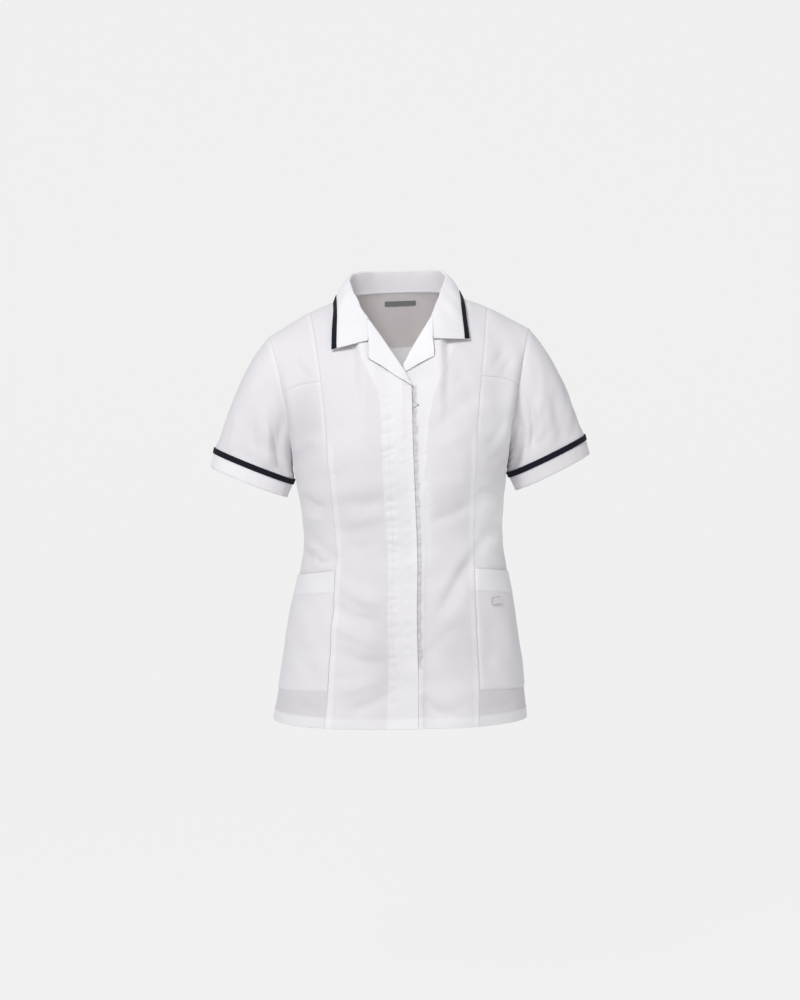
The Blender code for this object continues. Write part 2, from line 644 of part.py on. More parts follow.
def armhole_rings():
    """The armhole from the shoulder down the front, under the arm and up the back: the seam's
    points, the body's normals there and the ways off the body's edge."""
    one = np.array(1.0)
    rings = []
    for face, seam in ((-1, float(chest_seam_up(one))), (1, float(up_at(one, YOKE_Z, 1)))):
        shares = np.linspace(0, 1, SHOULDER_ROWS) if face < 0 else YOKE_SHARES
        ups = np.concatenate([np.linspace(1, seam, CHEST_ROWS), seam + shares[1:] * (2 - seam)])
        points = body(one, ups, face)
        off = unit(points - body(one - 0.004, ups, face))
        rings.append((points, smooth_normal(one, ups, face), off))
    front, back = rings
    joined = [np.concatenate([f[::-1], b[1:-1]]) for f, b in zip(front, back)]
    points = joined[0]
    steps = np.linalg.norm(np.roll(points, -1, axis=0) - points, axis=1)
    underarm = len(front[0]) - 1
    half, whole = np.sum(steps[:underarm]), np.sum(steps)
    along = np.concatenate([[0], np.cumsum(steps)[:-1]])
    turn = np.where(along <= half, along / half * 0.5, 0.5 + (along - half) / (whole - half) * 0.5)
    return (*joined, turn)


def cuff_frame():
    """The cuff's middle, and its directions down the sleeve, outwards and forwards."""
    tilt = math.radians(CUFF["tilt_deg"])
    down = np.array([math.sin(tilt), 0, -math.cos(tilt)])
    out = np.array([math.cos(tilt), 0, math.sin(tilt)])
    return np.array([CUFF["x"], 0, CUFF["z"]]), down, out, np.array([0, -1.0, 0])


def cuff_ring(turn, above):
    """The ring of the cuff, a distance above its hem; its outer side leans in a little to the hem."""
    middle, down, out, front = cuff_frame()
    angle = turn * 2 * math.pi
    lean_in = CUFF["hem_in"] / 2 * (1 - above / CUFF_BAND)
    half_width = CUFF["half_width"] - lean_in
    flat = np.cos(angle)[:, None] * out * half_width + np.sin(angle)[:, None] * front * CUFF["half_depth"]
    return middle - down * above - out * lean_in + flat


def sleeve_grid(downs, folds):
    """The sleeve's outer and inner rings from the armhole to the cuff seam."""
    edge, proud, off, turn = armhole_rings()
    keys = column(SLEEVE_LEAVE, SLEEVE_LEAVE_COLUMNS, "turn")
    read = {name: through(turn, keys, column(SLEEVE_LEAVE, SLEEVE_LEAVE_COLUMNS, name))
            for name in SLEEVE_LEAVE_COLUMNS[1:]}
    leave = unit(np.stack([read["x"], read["y"], read["z"]], -1))
    start = edge + (leave + proud) * GAP
    end = cuff_ring(turn, CUFF_BAND + HALF_GAP)
    pull = leave * read["reach"][:, None]
    arrive = cuff_frame()[1] * np.linalg.norm(end - start, axis=1, keepdims=True) * SLEEVE_ARRIVE
    t = downs[:, None, None]
    on = t * t * (3 - 2 * t)
    grid = start * (1 - on) + end * on + pull * t * (1 - t) ** 2 + arrive * t * t * (t - 1)
    moved = np.zeros(grid.shape[:2])
    for turn0, down0, turn1, down1, half_turn, depth in folds:
        along = (downs - down0) / (down1 - down0)
        middle = turn0 + (turn1 - turn0) * np.clip(along, 0, 1)
        fade = ease((along + 0.25) / 0.5) * ease((1.25 - along) / 0.5)
        moved += depth * fade[:, None] * np.exp(-(((turn[None] - middle[:, None]) / half_turn) ** 2))
    normals = sleeve_normals(grid)
    calm = ease(downs / SLEEVE_CALM) * ease((1 - downs) / SLEEVE_CALM)
    outer = grid - normals * (moved * calm[:, None])[..., None]
    inner = outer - normals * CLOTH
    # At the seam the inner side starts clear of the body's edge
    short = GAP - np.sum((inner[0] - edge) * off, axis=1)
    slope = np.sum(leave * off, axis=1)
    slide = np.where(slope > 0.2, np.clip(short / np.maximum(slope, 0.2), 0, 0.003), 0)
    inner[0] += leave * slide[:, None]
    return outer, inner


def sleeve_normals(grid):
    """Normals that point out of the sleeve."""
    normals = grid_normals(grid, round_it=True)
    middle = grid.mean(axis=1, keepdims=True)
    flip = np.sign(np.sum(normals * (grid - middle)))
    return normals * flip


def mirrored(grid, sign):
    return grid * (sign, 1, 1)


def make_sleeves(white, navy):
    downs = np.concatenate([np.linspace(0, 1, SLEEVE_ROWS)[:-1], [0.96, 1]])
    turn = armhole_rings()[-1]
    for name, sign, folds in (("left", 1, LEFT_SLEEVE_FOLDS), ("right", -1, RIGHT_SLEEVE_FOLDS)):
        outer, inner = sleeve_grid(downs, folds)
        wall(f"sleeve_{name}", mirrored(outer, sign), mirrored(inner, sign), white, round_it=True)
        make_cuff(name, sign, turn, white, navy)


def cuff_wall(name, sign, turn, above, inner_out, thickness, material):
    grid = np.array([cuff_ring(turn, height) for height in above])
    normals = sleeve_normals(grid)
    outer, inner = grid + normals * (inner_out + thickness), grid + normals * inner_out
    wall(name, mirrored(outer, sign), mirrored(inner, sign), material, round_it=True)


def make_cuff(name, sign, turn, white, navy):
    """The turned hem band below the seam, and the tape that covers the seam."""
    band = (CUFF_BAND - HALF_GAP, CUFF_BAND / 2, 0)
    cuff_wall(f"cuff_{name}", sign, turn, band, -CLOTH, CLOTH, white)
    tape = (CUFF_BAND + CUFF_TAPE / 2, CUFF_BAND - CUFF_TAPE / 2)
    cuff_wall(f"cuff_tape_{name}", sign, turn, tape, CUFF_TAPE_CLEAR, TAPE_CLOTH, navy)


def roll_line(share, foot_x, foot_z):
    """Places on the roll line from its foot (0) to the gorge (1), on the wearer's left."""
    keys = column(FRONT_TOP, TOP_COLUMNS, "across")
    xs, zs = column(FRONT_TOP, TOP_COLUMNS, "x"), column(FRONT_TOP, TOP_COLUMNS, "z")
    below = foot_z < zs[0]
    # Below the V the line runs straight on, to the break
    split = ROLL_BELOW_V if below else 0.0
    start = 0.0 if below else float(np.interp(foot_x, xs[:3], keys[:3]))
    on = start + (GORGE_ACROSS - start) * np.clip((share - split) / (1 - split), 0, 1)
    x, z = through(on, keys, xs), through(on, keys, zs)
    if not below:
        return x, z
    down = np.clip(1 - share / split, 0, 1)
    return np.where(down > 0, foot_x * down, x), np.where(down > 0, zs[0] + (foot_z - zs[0]) * down, z)


def revers_sides(under, sign):
    """Both sides of a turned-back revers: round the roll first, then out over the front. The one
    under the lap lies on the left front, which lies further in."""
    share = np.linspace(0, 1, REVERS_ROWS)
    x, z = roll_line(share, UNDER_FOOT_X, 0) if under else roll_line(share, -BREAK_X, BREAK_Z)
    # The outer side runs up from the lower corner to the notch
    far_x = REVERS["corner_x"] + (REVERS["notch_x"] - REVERS["corner_x"]) * share
    far_z = REVERS["corner_z"] + (REVERS["notch_z"] - REVERS["corner_z"]) * share
    roll, normal = revers_roll(x, z, under)
    along = unit(np.gradient(roll, axis=0))
    away = np.stack([far_x - x, np.zeros(REVERS_ROWS), far_z - z], -1)
    for fixed in (normal, along):
        away = away - fixed * np.sum(away * fixed, axis=1, keepdims=True)
    away = unit(away)
    radius = (ROLL_RADIUS * (ROLL_FOOT + (1 - ROLL_FOOT) * ease(share / ROLL_FOOT_RUN)))[:, None]
    middle = roll + normal * (radius - CLOTH / 2) - away * ROLL_CLEAR
    round_it = [normal * math.sin(a) - away * math.cos(a) for a in ROLL_ANGLES]
    turns = [middle + radius * way for way in round_it]
    out_share = REVERS_SHARES[:, None]
    sag = UNDER_FOOT_SAG * ease(1 - share / 0.5) if under else 0
    flat_x = x + (far_x - x) * out_share
    flat_z = z + (far_z - z) * out_share - sag * (1 - out_share)
    across, up = place(flat_x, flat_z, -1)
    low = REVERS_CLEAR + CLOTH / 2
    crown = (2 * radius[:, 0] - CLOTH / 2 - low) * (1 - out_share) ** 1.5
    crown = crown + REVERS_BELLY * np.sin(math.pi * out_share)
    sink = lap_depth(smooth_body(across, up, -1)) if under else 0
    flat = body(across, up, -1, low + crown - sink)
    grid = np.concatenate([turns, flat]).transpose(1, 0, 2)
    half = np.concatenate([round_it, smooth_normal(across, up, -1)]).transpose(1, 0, 2) * CLOTH / 2
    return mirrored(grid + half, sign), mirrored(grid - half, sign)


def revers_roll(x, z, under):
    """The roll line's points on the front, and the front's normals there."""
    across, up = place(x, z, -1)
    roll, normal = body(across, up, -1), smooth_normal(across, up, -1)
    sink = lap_depth(roll) if under else np.zeros(len(x))
    return roll - normal * sink[:, None], normal


def make_revers(white):
    wall("revers_right", *revers_sides(False, -1), white)
    wall("revers_left", *revers_sides(True, 1), white)


def collar_line(along, part):
    """The collar's fold or outer edge. The points of the collar are sharp corners of its edge."""
    far = np.abs(along)
    keys = column(COLLAR, COLLAR_COLUMNS, "along")
    tip = int(np.argmin(np.abs(keys - COLLAR_TIP)))
    lines = []
    for axis in "xyz":
        values = column(COLLAR, COLLAR_COLUMNS, f"{part}_{axis}")
        if part == "fold":
            lines.append(through(far, keys, values))
            continue
        outer, front = through(far, keys[: tip + 1], values[: tip + 1]), through(far, keys[tip:], values[tip:])
        lines.append(np.where(far <= COLLAR_TIP, outer, front))
    points = np.stack(lines, -1)
    points[..., 0] *= np.where(along < 0, -1, 1)
    front = ease((far - COLLAR_SKEW["from"]) / COLLAR_SKEW["run"]) * points[..., 0]
    points[..., 1] += front * COLLAR_SKEW["back"]
    points[..., 2] += front * COLLAR_SKEW["rise"]
    return points


def neckline(along):
    """The body's own edge round the neck, below the collar's stand, and the fronts' normals there."""
    far, side = np.abs(along), np.sign(along)
    back = body(side * np.clip(far / NECK_ALONG, 0, 1) * NECK_ACROSS, 2.0, 1)
    share = np.clip((far - NECK_ALONG) / (1 - NECK_ALONG), 0, 1)
    across = side * (NECK_ACROSS + (GORGE_ACROSS - NECK_ACROSS) * share)
    points = np.where((far <= NECK_ALONG)[:, None], back, body(across, 2.0, -1))
    return points + (0, 0, COLLAR_LIFT), smooth_normal(across, 2.0, -1)


def collar_grid():
    """Middle of the collar: columns go round the neck, rows up the stand, over the roll and down the fall."""
    half = np.concatenate([np.linspace(0, COLLAR_TIP, COLLAR_HALF_COLUMNS), COLLAR_END_ALONGS])
    alongs = np.concatenate([-half[:0:-1], half])
    (base, normal), fold, edge = neckline(alongs), collar_line(alongs, "fold"), collar_line(alongs, "edge")
    turned = ease((np.abs(alongs) - GORGE_TURN_FROM) / (GORGE_TURN_TO - GORGE_TURN_FROM))[:, None]
    rise, fall = unit(unit(fold - base) * (1 - turned) + normal * turned), edge - fold
    side = unit(fall - rise * np.sum(fall * rise, axis=1, keepdims=True))
    centre = fold + side * COLLAR_ROLL
    rows = [base + (fold - base) * t for t in STAND_SHARES]
    for angle in FOLD_ANGLES:
        rows.append(centre - side * COLLAR_ROLL * math.cos(angle) + rise * COLLAR_ROLL * math.sin(angle))
    start = rows[-1]
    length = np.linalg.norm(edge - start, axis=1, keepdims=True)
    proud = unit(np.cross(np.gradient(fold, axis=0), fall))
    margin = COLLAR_TAPE["margin"] / length
    inner_margin = margin + COLLAR_TAPE["width"] / length
    shares = [share * (1 - inner_margin) for share in FALL_SHARES]
    shares += [1 - inner_margin, 1 - margin, np.ones_like(length)]
    rows += [collar_fall(start, edge, proud, share) for share in shares]
    return alongs, join_gorge(np.array(rows), alongs)


def collar_fall(start, edge, proud, share):
    length = np.linalg.norm(edge - start, axis=1, keepdims=True)
    belly = COLLAR_BELLY * np.clip(length / COLLAR_BELLY_FULL, 0, 1)
    return start + (edge - start) * share + proud * belly * np.sin(math.pi * share)


def read_line(points, shares):
    """A line of points read at the places where the collar's rows end."""
    return np.stack([np.interp(GORGE_PLACES, shares, points[:, axis]) for axis in range(3)], -1)


def gorge_lines():
    """Where the collar's ends lie: just past the ends of the revers, with an outer and an inner side."""
    for end, sign, under in ((-1, 1, True), (0, -1, False)):
        sides = revers_sides(under, sign)
        middle = (sides[0] + sides[1]) / 2
        past = unit(np.cross(np.gradient(middle[-1], axis=0), sides[0][-1] - sides[1][-1]))
        past *= np.sign(np.sum(past * (middle[-1] - middle[-2]))) * GORGE_GAP
        steps = np.concatenate([[0], np.cumsum(np.linalg.norm(np.diff(middle[-1], axis=0), axis=1))])
        shares = steps / steps[-1]
        ends = [read_line(side[-1] + past, shares) for side in sides]
        yield end, sign, *ends


def join_gorge(grid, alongs):
    """Moves the collar's two front ends onto the ends of the revers, and what is near them less."""
    grid = grid.copy()
    for end, sign, outer, inner in gorge_lines():
        weight = ease((alongs * sign - GORGE_JOIN_FROM) / (1 - GORGE_JOIN_FROM))[None, :, None]
        grid = grid + ((outer + inner) / 2 - grid[:, end])[:, None] * weight
    return grid


def make_collar(white, navy):
    alongs, grid = collar_grid()
    grid = grid.transpose(1, 0, 2)
    half = grid_normals(grid) * THICK_CLOTH / 2
    # The outer side is the one that shows on the fall
    half *= np.sign(np.sum(half[:, -1, 2]))
    outer, inner = grid + half, grid - half
    for end, _, outer_end, inner_end in gorge_lines():
        outer[end], inner[end] = outer_end, inner_end
    wall("collar", outer, inner, white)
    # The tape lies on the collar's own points, moved out, from tip to tip
    reach = np.abs(alongs) <= COLLAR_TIP + 1e-9
    strip, under = outer[reach, -3:-1], inner[reach, -3:-1]
    proud = unit(strip - under)
    low = strip + proud * COLLAR_TAPE["clear"]
    wall("collar_tape", low + proud * TAPE_CLOTH, low, navy)


def make_tab(white):
    half = POCKET_TAB["width"] / 2
    xs, zs = np.meshgrid(
        np.linspace(POCKET_TAB["x"] - half, POCKET_TAB["x"] + half, 3),
        np.linspace(POCKET_TAB["z"] - POCKET_TAB["height"], POCKET_TAB["z"], 3),
    )
    across, up = place(xs, zs, -1)
    out = POCKET["lift"] + CLOTH + 3 * GAP + TAPE_CLOTH
    body_wall("pocket_tab", across, up, -1, white, (), out=out, thickness=TAPE_CLOTH)


def main():
    for old in list(bpy.data.objects):
        bpy.data.objects.remove(old)
    bpy.context.scene.collection.children.link(bpy.data.collections.new(ROOT))
    white = colour("white poly-cotton", (0.86, 0.86, 0.88), 0.8)
    navy = colour("navy tape", (0.012, 0.013, 0.03), 0.7)
    grey = colour("grey woven label", (0.16, 0.16, 0.165), 0.7)
    make_fronts(white)
    make_zip(white)
    make_side_fronts(white)
    make_back(white, grey)
    make_sleeves(white, navy)
    make_revers(white)
    make_collar(white, navy)
    make_tab(white)


main()
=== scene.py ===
import math

import bpy
import numpy as np
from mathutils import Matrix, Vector


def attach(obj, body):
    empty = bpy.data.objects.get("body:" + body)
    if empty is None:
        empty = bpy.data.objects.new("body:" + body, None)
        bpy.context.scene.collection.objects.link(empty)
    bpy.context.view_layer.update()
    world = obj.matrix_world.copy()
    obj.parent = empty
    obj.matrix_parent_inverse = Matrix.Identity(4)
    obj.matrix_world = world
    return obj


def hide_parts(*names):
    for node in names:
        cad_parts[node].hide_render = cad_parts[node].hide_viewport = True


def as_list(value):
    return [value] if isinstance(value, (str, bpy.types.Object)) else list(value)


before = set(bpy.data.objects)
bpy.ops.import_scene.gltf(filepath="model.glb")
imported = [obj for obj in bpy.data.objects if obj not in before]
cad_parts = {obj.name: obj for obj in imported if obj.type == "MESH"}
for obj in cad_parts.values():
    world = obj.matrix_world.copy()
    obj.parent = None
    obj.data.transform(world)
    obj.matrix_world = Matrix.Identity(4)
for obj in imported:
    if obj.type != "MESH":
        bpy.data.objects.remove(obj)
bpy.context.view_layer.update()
print("frame loaded")


# A new object in the scene
def addObject(name, data):
    made = bpy.data.objects.new(name, data)
    bpy.context.scene.collection.objects.link(made)
    return made


# Camera: the photograph's, level with the collar and a little to the wearer's right
camera = {"distance": 4.0, "height": -0.023, "azimuth": -1.5, "lens": 88, "aimZ": -0.29992}


def makeCamera():
    azimuth = math.radians(camera["azimuth"])
    at = Vector((math.sin(azimuth), -math.cos(azimuth), 0)) * camera["distance"]
    at.z = camera["height"]
    made = addObject("camera", bpy.data.cameras.new("camera"))
    made.data.lens = camera["lens"]
    made.location = at
    made.rotation_euler = (Vector((0, 0, camera["aimZ"])) - at).to_track_quat("-Z", "Y").to_euler()
    bpy.context.scene.camera = made


makeCamera()

# Cloth and seams
cloth = 0.0012
tapeCloth = 0.0010
gap = 0.0003
halfGap = gap / 2

# Heights
hemZ = -0.656
underarmZ = -0.230
yokeZ = -0.050
bodyHeight = underarmZ - hemZ
chestHeight = 0.24
hemBand = 0.017
hemThick = 0.0005

# The form's own landmarks, as shares of the way across from the centre (0) to the side seam (1)
labelAcross = 0.083
gorgeAcross = 0.20
neckAcross = 0.30
seamAcross = 0.50

# Metres of cloth to a whole share: beside a princess seam, beside a side seam and up the chest
seamSpan, sideSpan, topSpan = 0.23, 0.18, 0.12

# Metres of x to a whole share: at the hem, and a rough one for a first guess
hemSpan, roughHalf = 0.246, 0.24

# Rings of the body from the hem to the underarm
ringColumns = (
    "z", "halfWidth", "frontDepth", "backDepth", "frontPower", "backPower",
    "frontSeamX", "backSeamX",
)
bodyRings = (
    (-0.656, 0.2085, 0.143, 0.140, 2.35, 2.45, 0.1230, 0.105),
    (-0.620, 0.2035, 0.141, 0.139, 2.35, 2.45, 0.1215, 0.101),
    (-0.580, 0.1980, 0.138, 0.136, 2.35, 2.42, 0.1198, 0.097),
    (-0.530, 0.1905, 0.134, 0.130, 2.35, 2.40, 0.1172, 0.092),
    (-0.480, 0.1833, 0.130, 0.120, 2.35, 2.35, 0.1145, 0.086),
    (-0.420, 0.1705, 0.126, 0.107, 2.40, 2.30, 0.1125, 0.080),
    (-0.365, 0.1628, 0.127, 0.100, 2.50, 2.30, 0.1110, 0.078),
    (-0.310, 0.1655, 0.134, 0.102, 2.65, 2.35, 0.1125, 0.083),
    (-0.265, 0.1713, 0.141, 0.107, 2.75, 2.45, 0.1140, 0.092),
    (-0.230, 0.1765, 0.143, 0.112, 2.80, 2.55, 0.1160, 0.100),
)

# Upper ends of the form's columns, and the pull with which they arrive there
topColumns = ("across", "x", "y", "z", "pullX", "pullY", "pullZ")
frontTop = (
    (0.00, 0.0000, -0.112, -0.0845, 0.000, 0.050, 0.110),
    (0.08, 0.0205, -0.093, -0.0525, 0.000, 0.062, 0.125),
    (gorgeAcross, 0.0525, -0.060, -0.0045, 0.000, 0.105, 0.110),
    (0.25, 0.0680, -0.030, 0.0190, 0.004, 0.140, 0.050),
    (neckAcross, 0.0800, 0.010, 0.0340, 0.008, 0.150, 0.000),
    (0.40, 0.1130, 0.011, 0.0240, 0.010, 0.160, 0.000),
    (seamAcross, 0.1450, 0.011, 0.0110, 0.012, 0.170, 0.000),
    (0.65, 0.1680, 0.010, -0.0010, 0.016, 0.185, 0.000),
    (0.82, 0.1910, 0.009, -0.0140, 0.020, 0.210, 0.000),
    (1.00, 0.2130, 0.008, -0.0265, 0.024, 0.240, 0.000),
)
backTop = (
    (0.00, 0.0000, 0.0700, 0.0395, 0.000, -0.030, 0.080),
    (0.12, 0.0340, 0.0650, 0.0394, 0.002, -0.045, 0.070),
    (gorgeAcross, 0.0580, 0.0480, 0.0385, 0.004, -0.080, 0.045),
    (0.25, 0.0700, 0.0310, 0.0370, 0.006, -0.120, 0.015),
) + tuple((a, x, y, z, -px, -py, pz) for a, x, y, z, px, py, pz in frontTop[4:])

# The armhole leaves the underarm forwards and back
armholePull = (-0.010, 0.240, 0.110)
armholeTurnFrom = 0.62
armholePoints = ((-1, 62), (1, 66))
chestPull = 0.95

# Front opening: the right front laps over the left
breakX, breakZ = 0.0155, -0.1105
edgeHemX = 0.0255
lapBow = 0.0036
zipClear = 0.0010
lapSink = cloth + tapeCloth + 2 * zipClear
lapFlatX, lapEndX = 0.032, 0.080
lapTopZ, lapFullZ = -0.060, -0.105

# Zip behind the lap
zipHalf = 0.011
zipTopZ, zipBottomZ = -0.128, -0.556
zipEarX, zipEarZ, zipEarHalf = 0.0285, -0.1400, 0.0065

# Seams across the side fronts
chestSeam = {"princessZ": -0.099, "armholeZ": -0.118}

# Hip pockets, which fill the side fronts from seam to seam
pocket = {
    "mouthPrincessZ": -0.404,
    "mouthSideZ": -0.421,
    "band": 0.035,
    "footPrincessZ": -0.598,
    "footSideZ": -0.607,
    "bandStep": 0.0006,
    "lift": 0.0006,
}
pocketTab = {"x": 0.1520, "z": -0.4580, "width": 0.015, "height": 0.0105}

# Sleeves
cuff = {
    "x": 0.2508, "z": -0.2606, "tiltDeg": 24.0, "halfWidth": 0.0700, "halfDepth": 0.0490, "hemIn": 0.0050,
}
cuffBand = 0.0275
cuffTape = 0.0080
cuffTapeClear = 0.0008
sleeveLeaveColumns = ("turn", "x", "y", "z", "reach")
sleeveLeave = (
    (0.00, 0.660, 0.000, -0.750, 0.230),
    (0.12, 0.760, -0.220, -0.610, 0.200),
    (0.25, 0.800, -0.260, -0.540, 0.150),
    (0.38, 0.640, -0.260, -0.720, 0.095),
    (0.50, 0.120, 0.000, -0.993, 0.050),
)
sleeveLeave += tuple((1 - turn, x, -y, z, reach) for turn, x, y, z, reach in sleeveLeave[-2::-1])
sleeveArrive = 0.75
sleeveCalm = 0.12
sleeveRound, sleeveLong = 0.40, 0.20
sleeveLook = {"thick": 0.0009, "leastSlope": 0.2, "mostSlide": 0.003, "foldOver": 0.25, "foldFade": 0.5}

# Revers: the fronts turned back along the roll line
revers = {"cornerX": 0.0530, "cornerZ": -0.0650, "notchX": 0.0510, "notchZ": -0.0385}
rollRadius = 0.0024
rollClear = 0.0005
rollAngles = np.radians(np.linspace(-90, 80, 11))
# The roll is flatter at its foot, and the lapped one's line runs on below the V
rollFoot, rollFootRun = 0.42, 0.30
rollBelowV = 0.27
reversClear = 0.0008
reversBelly = 0.0016
reversLift, reversThick = 0.0028, 0.0009
reversRows = 41
reversShares = np.array([0.05, *np.linspace(0.10, 0.95, 16), 0.975, 1.0])
# The left one's foot goes under the right front beside the V
underFootX = 0.0035
underFootSag = 0.0092

# Collar, half of it, from the centre back round to the gorge seam
collarColumns = ("along", "foldX", "foldY", "foldZ", "edgeX", "edgeY", "edgeZ")
neckAlong = 0.48
collarTip = 0.84
collar = (
    (0.00, 0.0000, 0.0750, 0.0742, 0.0000, 0.0905, 0.0240),
    (0.14, 0.0350, 0.0697, 0.0740, 0.0420, 0.0855, 0.0240),
    (0.28, 0.0620, 0.0515, 0.0728, 0.0760, 0.0640, 0.0250),
    (0.38, 0.0730, 0.0340, 0.0695, 0.0930, 0.0390, 0.0265),
    (neckAlong, 0.0775, 0.0120, 0.0600, 0.1030, 0.0060, 0.0290),
    (0.60, 0.0730, -0.0110, 0.0460, 0.1060, -0.0260, 0.0130),
    (0.72, 0.0660, -0.0320, 0.0290, 0.1085, -0.0520, -0.0130),
    (collarTip, 0.0600, -0.0470, 0.0130, 0.1110, -0.0760, -0.0450),
    (0.92, 0.0560, -0.0550, 0.0025, 0.0820, -0.0880, -0.0412),
    (1.00, 0.0525, -0.0620, -0.0065, 0.0515, -0.0945, -0.0375),
)
collarLift = 0.0006
collarRoll = 0.0026
collarBelly, collarBellyFull = 0.0040, 0.050
standShares = (0, 0.40, 0.75)
fallShares = np.array((0.14, 0.32, 0.55)) / 0.78
# Towards the gorge the stand turns until it leaves the front squarely, as the revers does
gorgeTurnFrom, gorgeTurnTo = 0.74, 0.92
gorgeJoinFrom = 0.78
# Where the collar's rows end along the gorge seam
gorgePlaces = (0, 0.03, 0.06, 0.09, 0.13, 0.17, 0.21, 0.34, 0.52, 0.70, 0.80, 0.97, 1.0)
gorgeGap = -0.0008
# The collar's front follows the slope of the chest: how much it rises and sets back to one side
collarSkew = {"rise": 0.050, "back": 0.040, "from": 0.35, "run": 0.45}
collarTape = {"width": 0.0078, "margin": 0.0010, "clear": 0.0004}

# Neck label, as shares of the yoke's height inside the back neck
labelRows = (0.68, 0.84)
labelClear = 0.0005

# The pose: the shoulders tilt up on the wearer's left, and the waist sways that way
poseColumns = ("z", "tilt", "shift")
pose = (
    (-0.660, 0.008, 0.0000),
    (-0.600, 0.008, 0.0025),
    (-0.480, 0.010, 0.0035),
    (-0.380, 0.018, 0.0055),
    (-0.300, 0.028, 0.0030),
    (-0.240, 0.033, 0.0008),
    (-0.060, 0.033, -0.0008),
    (0.030, 0.033, -0.0030),
    (0.080, 0.033, -0.0042),
)

# Large soft folds on the body, troughs (+) and ridges (-): start x and z, end x and z, half width, depth
frontFolds = (
    (0.092, -0.235, 0.080, -0.255, 0.052, -0.0060),
    (-0.092, -0.235, -0.080, -0.255, 0.052, -0.0060),
    (0.060, -0.330, 0.045, -0.640, 0.030, 0.0030),
    (-0.075, -0.340, -0.060, -0.640, 0.032, 0.0034),
    (0.100, -0.480, 0.108, -0.645, 0.026, -0.0034),
    (-0.100, -0.500, -0.106, -0.645, 0.028, -0.0030),
    (-0.155, -0.345, -0.118, -0.385, 0.012, 0.0030),
    (0.150, -0.340, 0.120, -0.372, 0.012, 0.0028),
)
backFolds = (
    (0.050, -0.120, 0.095, -0.210, 0.026, 0.0035),
    (-0.050, -0.120, -0.095, -0.210, 0.026, 0.0035),
    (0.055, -0.400, 0.062, -0.645, 0.034, -0.0040),
    (-0.050, -0.410, -0.060, -0.645, 0.034, -0.0045),
    (0.000, -0.430, 0.006, -0.640, 0.030, 0.0035),
    (-0.140, -0.330, -0.060, -0.372, 0.016, 0.0035),
    (0.140, -0.335, 0.060, -0.368, 0.016, 0.0030),
)

# Sleeve folds: start turn and way down, end turn and way down, half width as a turn, depth
rightSleeveFolds = (
    (0.330, 0.10, 0.395, 0.90, 0.030, 0.0050),
    (0.245, 0.22, 0.300, 0.95, 0.040, -0.0030),
    (0.190, 0.45, 0.220, 1.00, 0.030, 0.0022),
    (0.660, 0.10, 0.610, 0.90, 0.035, 0.0045),
    (0.760, 0.30, 0.735, 0.95, 0.045, 0.0030),
)
leftSleeveFolds = (
    (0.325, 0.08, 0.400, 0.85, 0.028, 0.0055),
    (0.260, 0.15, 0.300, 0.75, 0.026, 0.0032),
    (0.205, 0.35, 0.225, 1.00, 0.034, -0.0030),
    (0.670, 0.12, 0.610, 0.90, 0.035, 0.0045),
    (0.780, 0.35, 0.750, 0.95, 0.045, 0.0032),
)

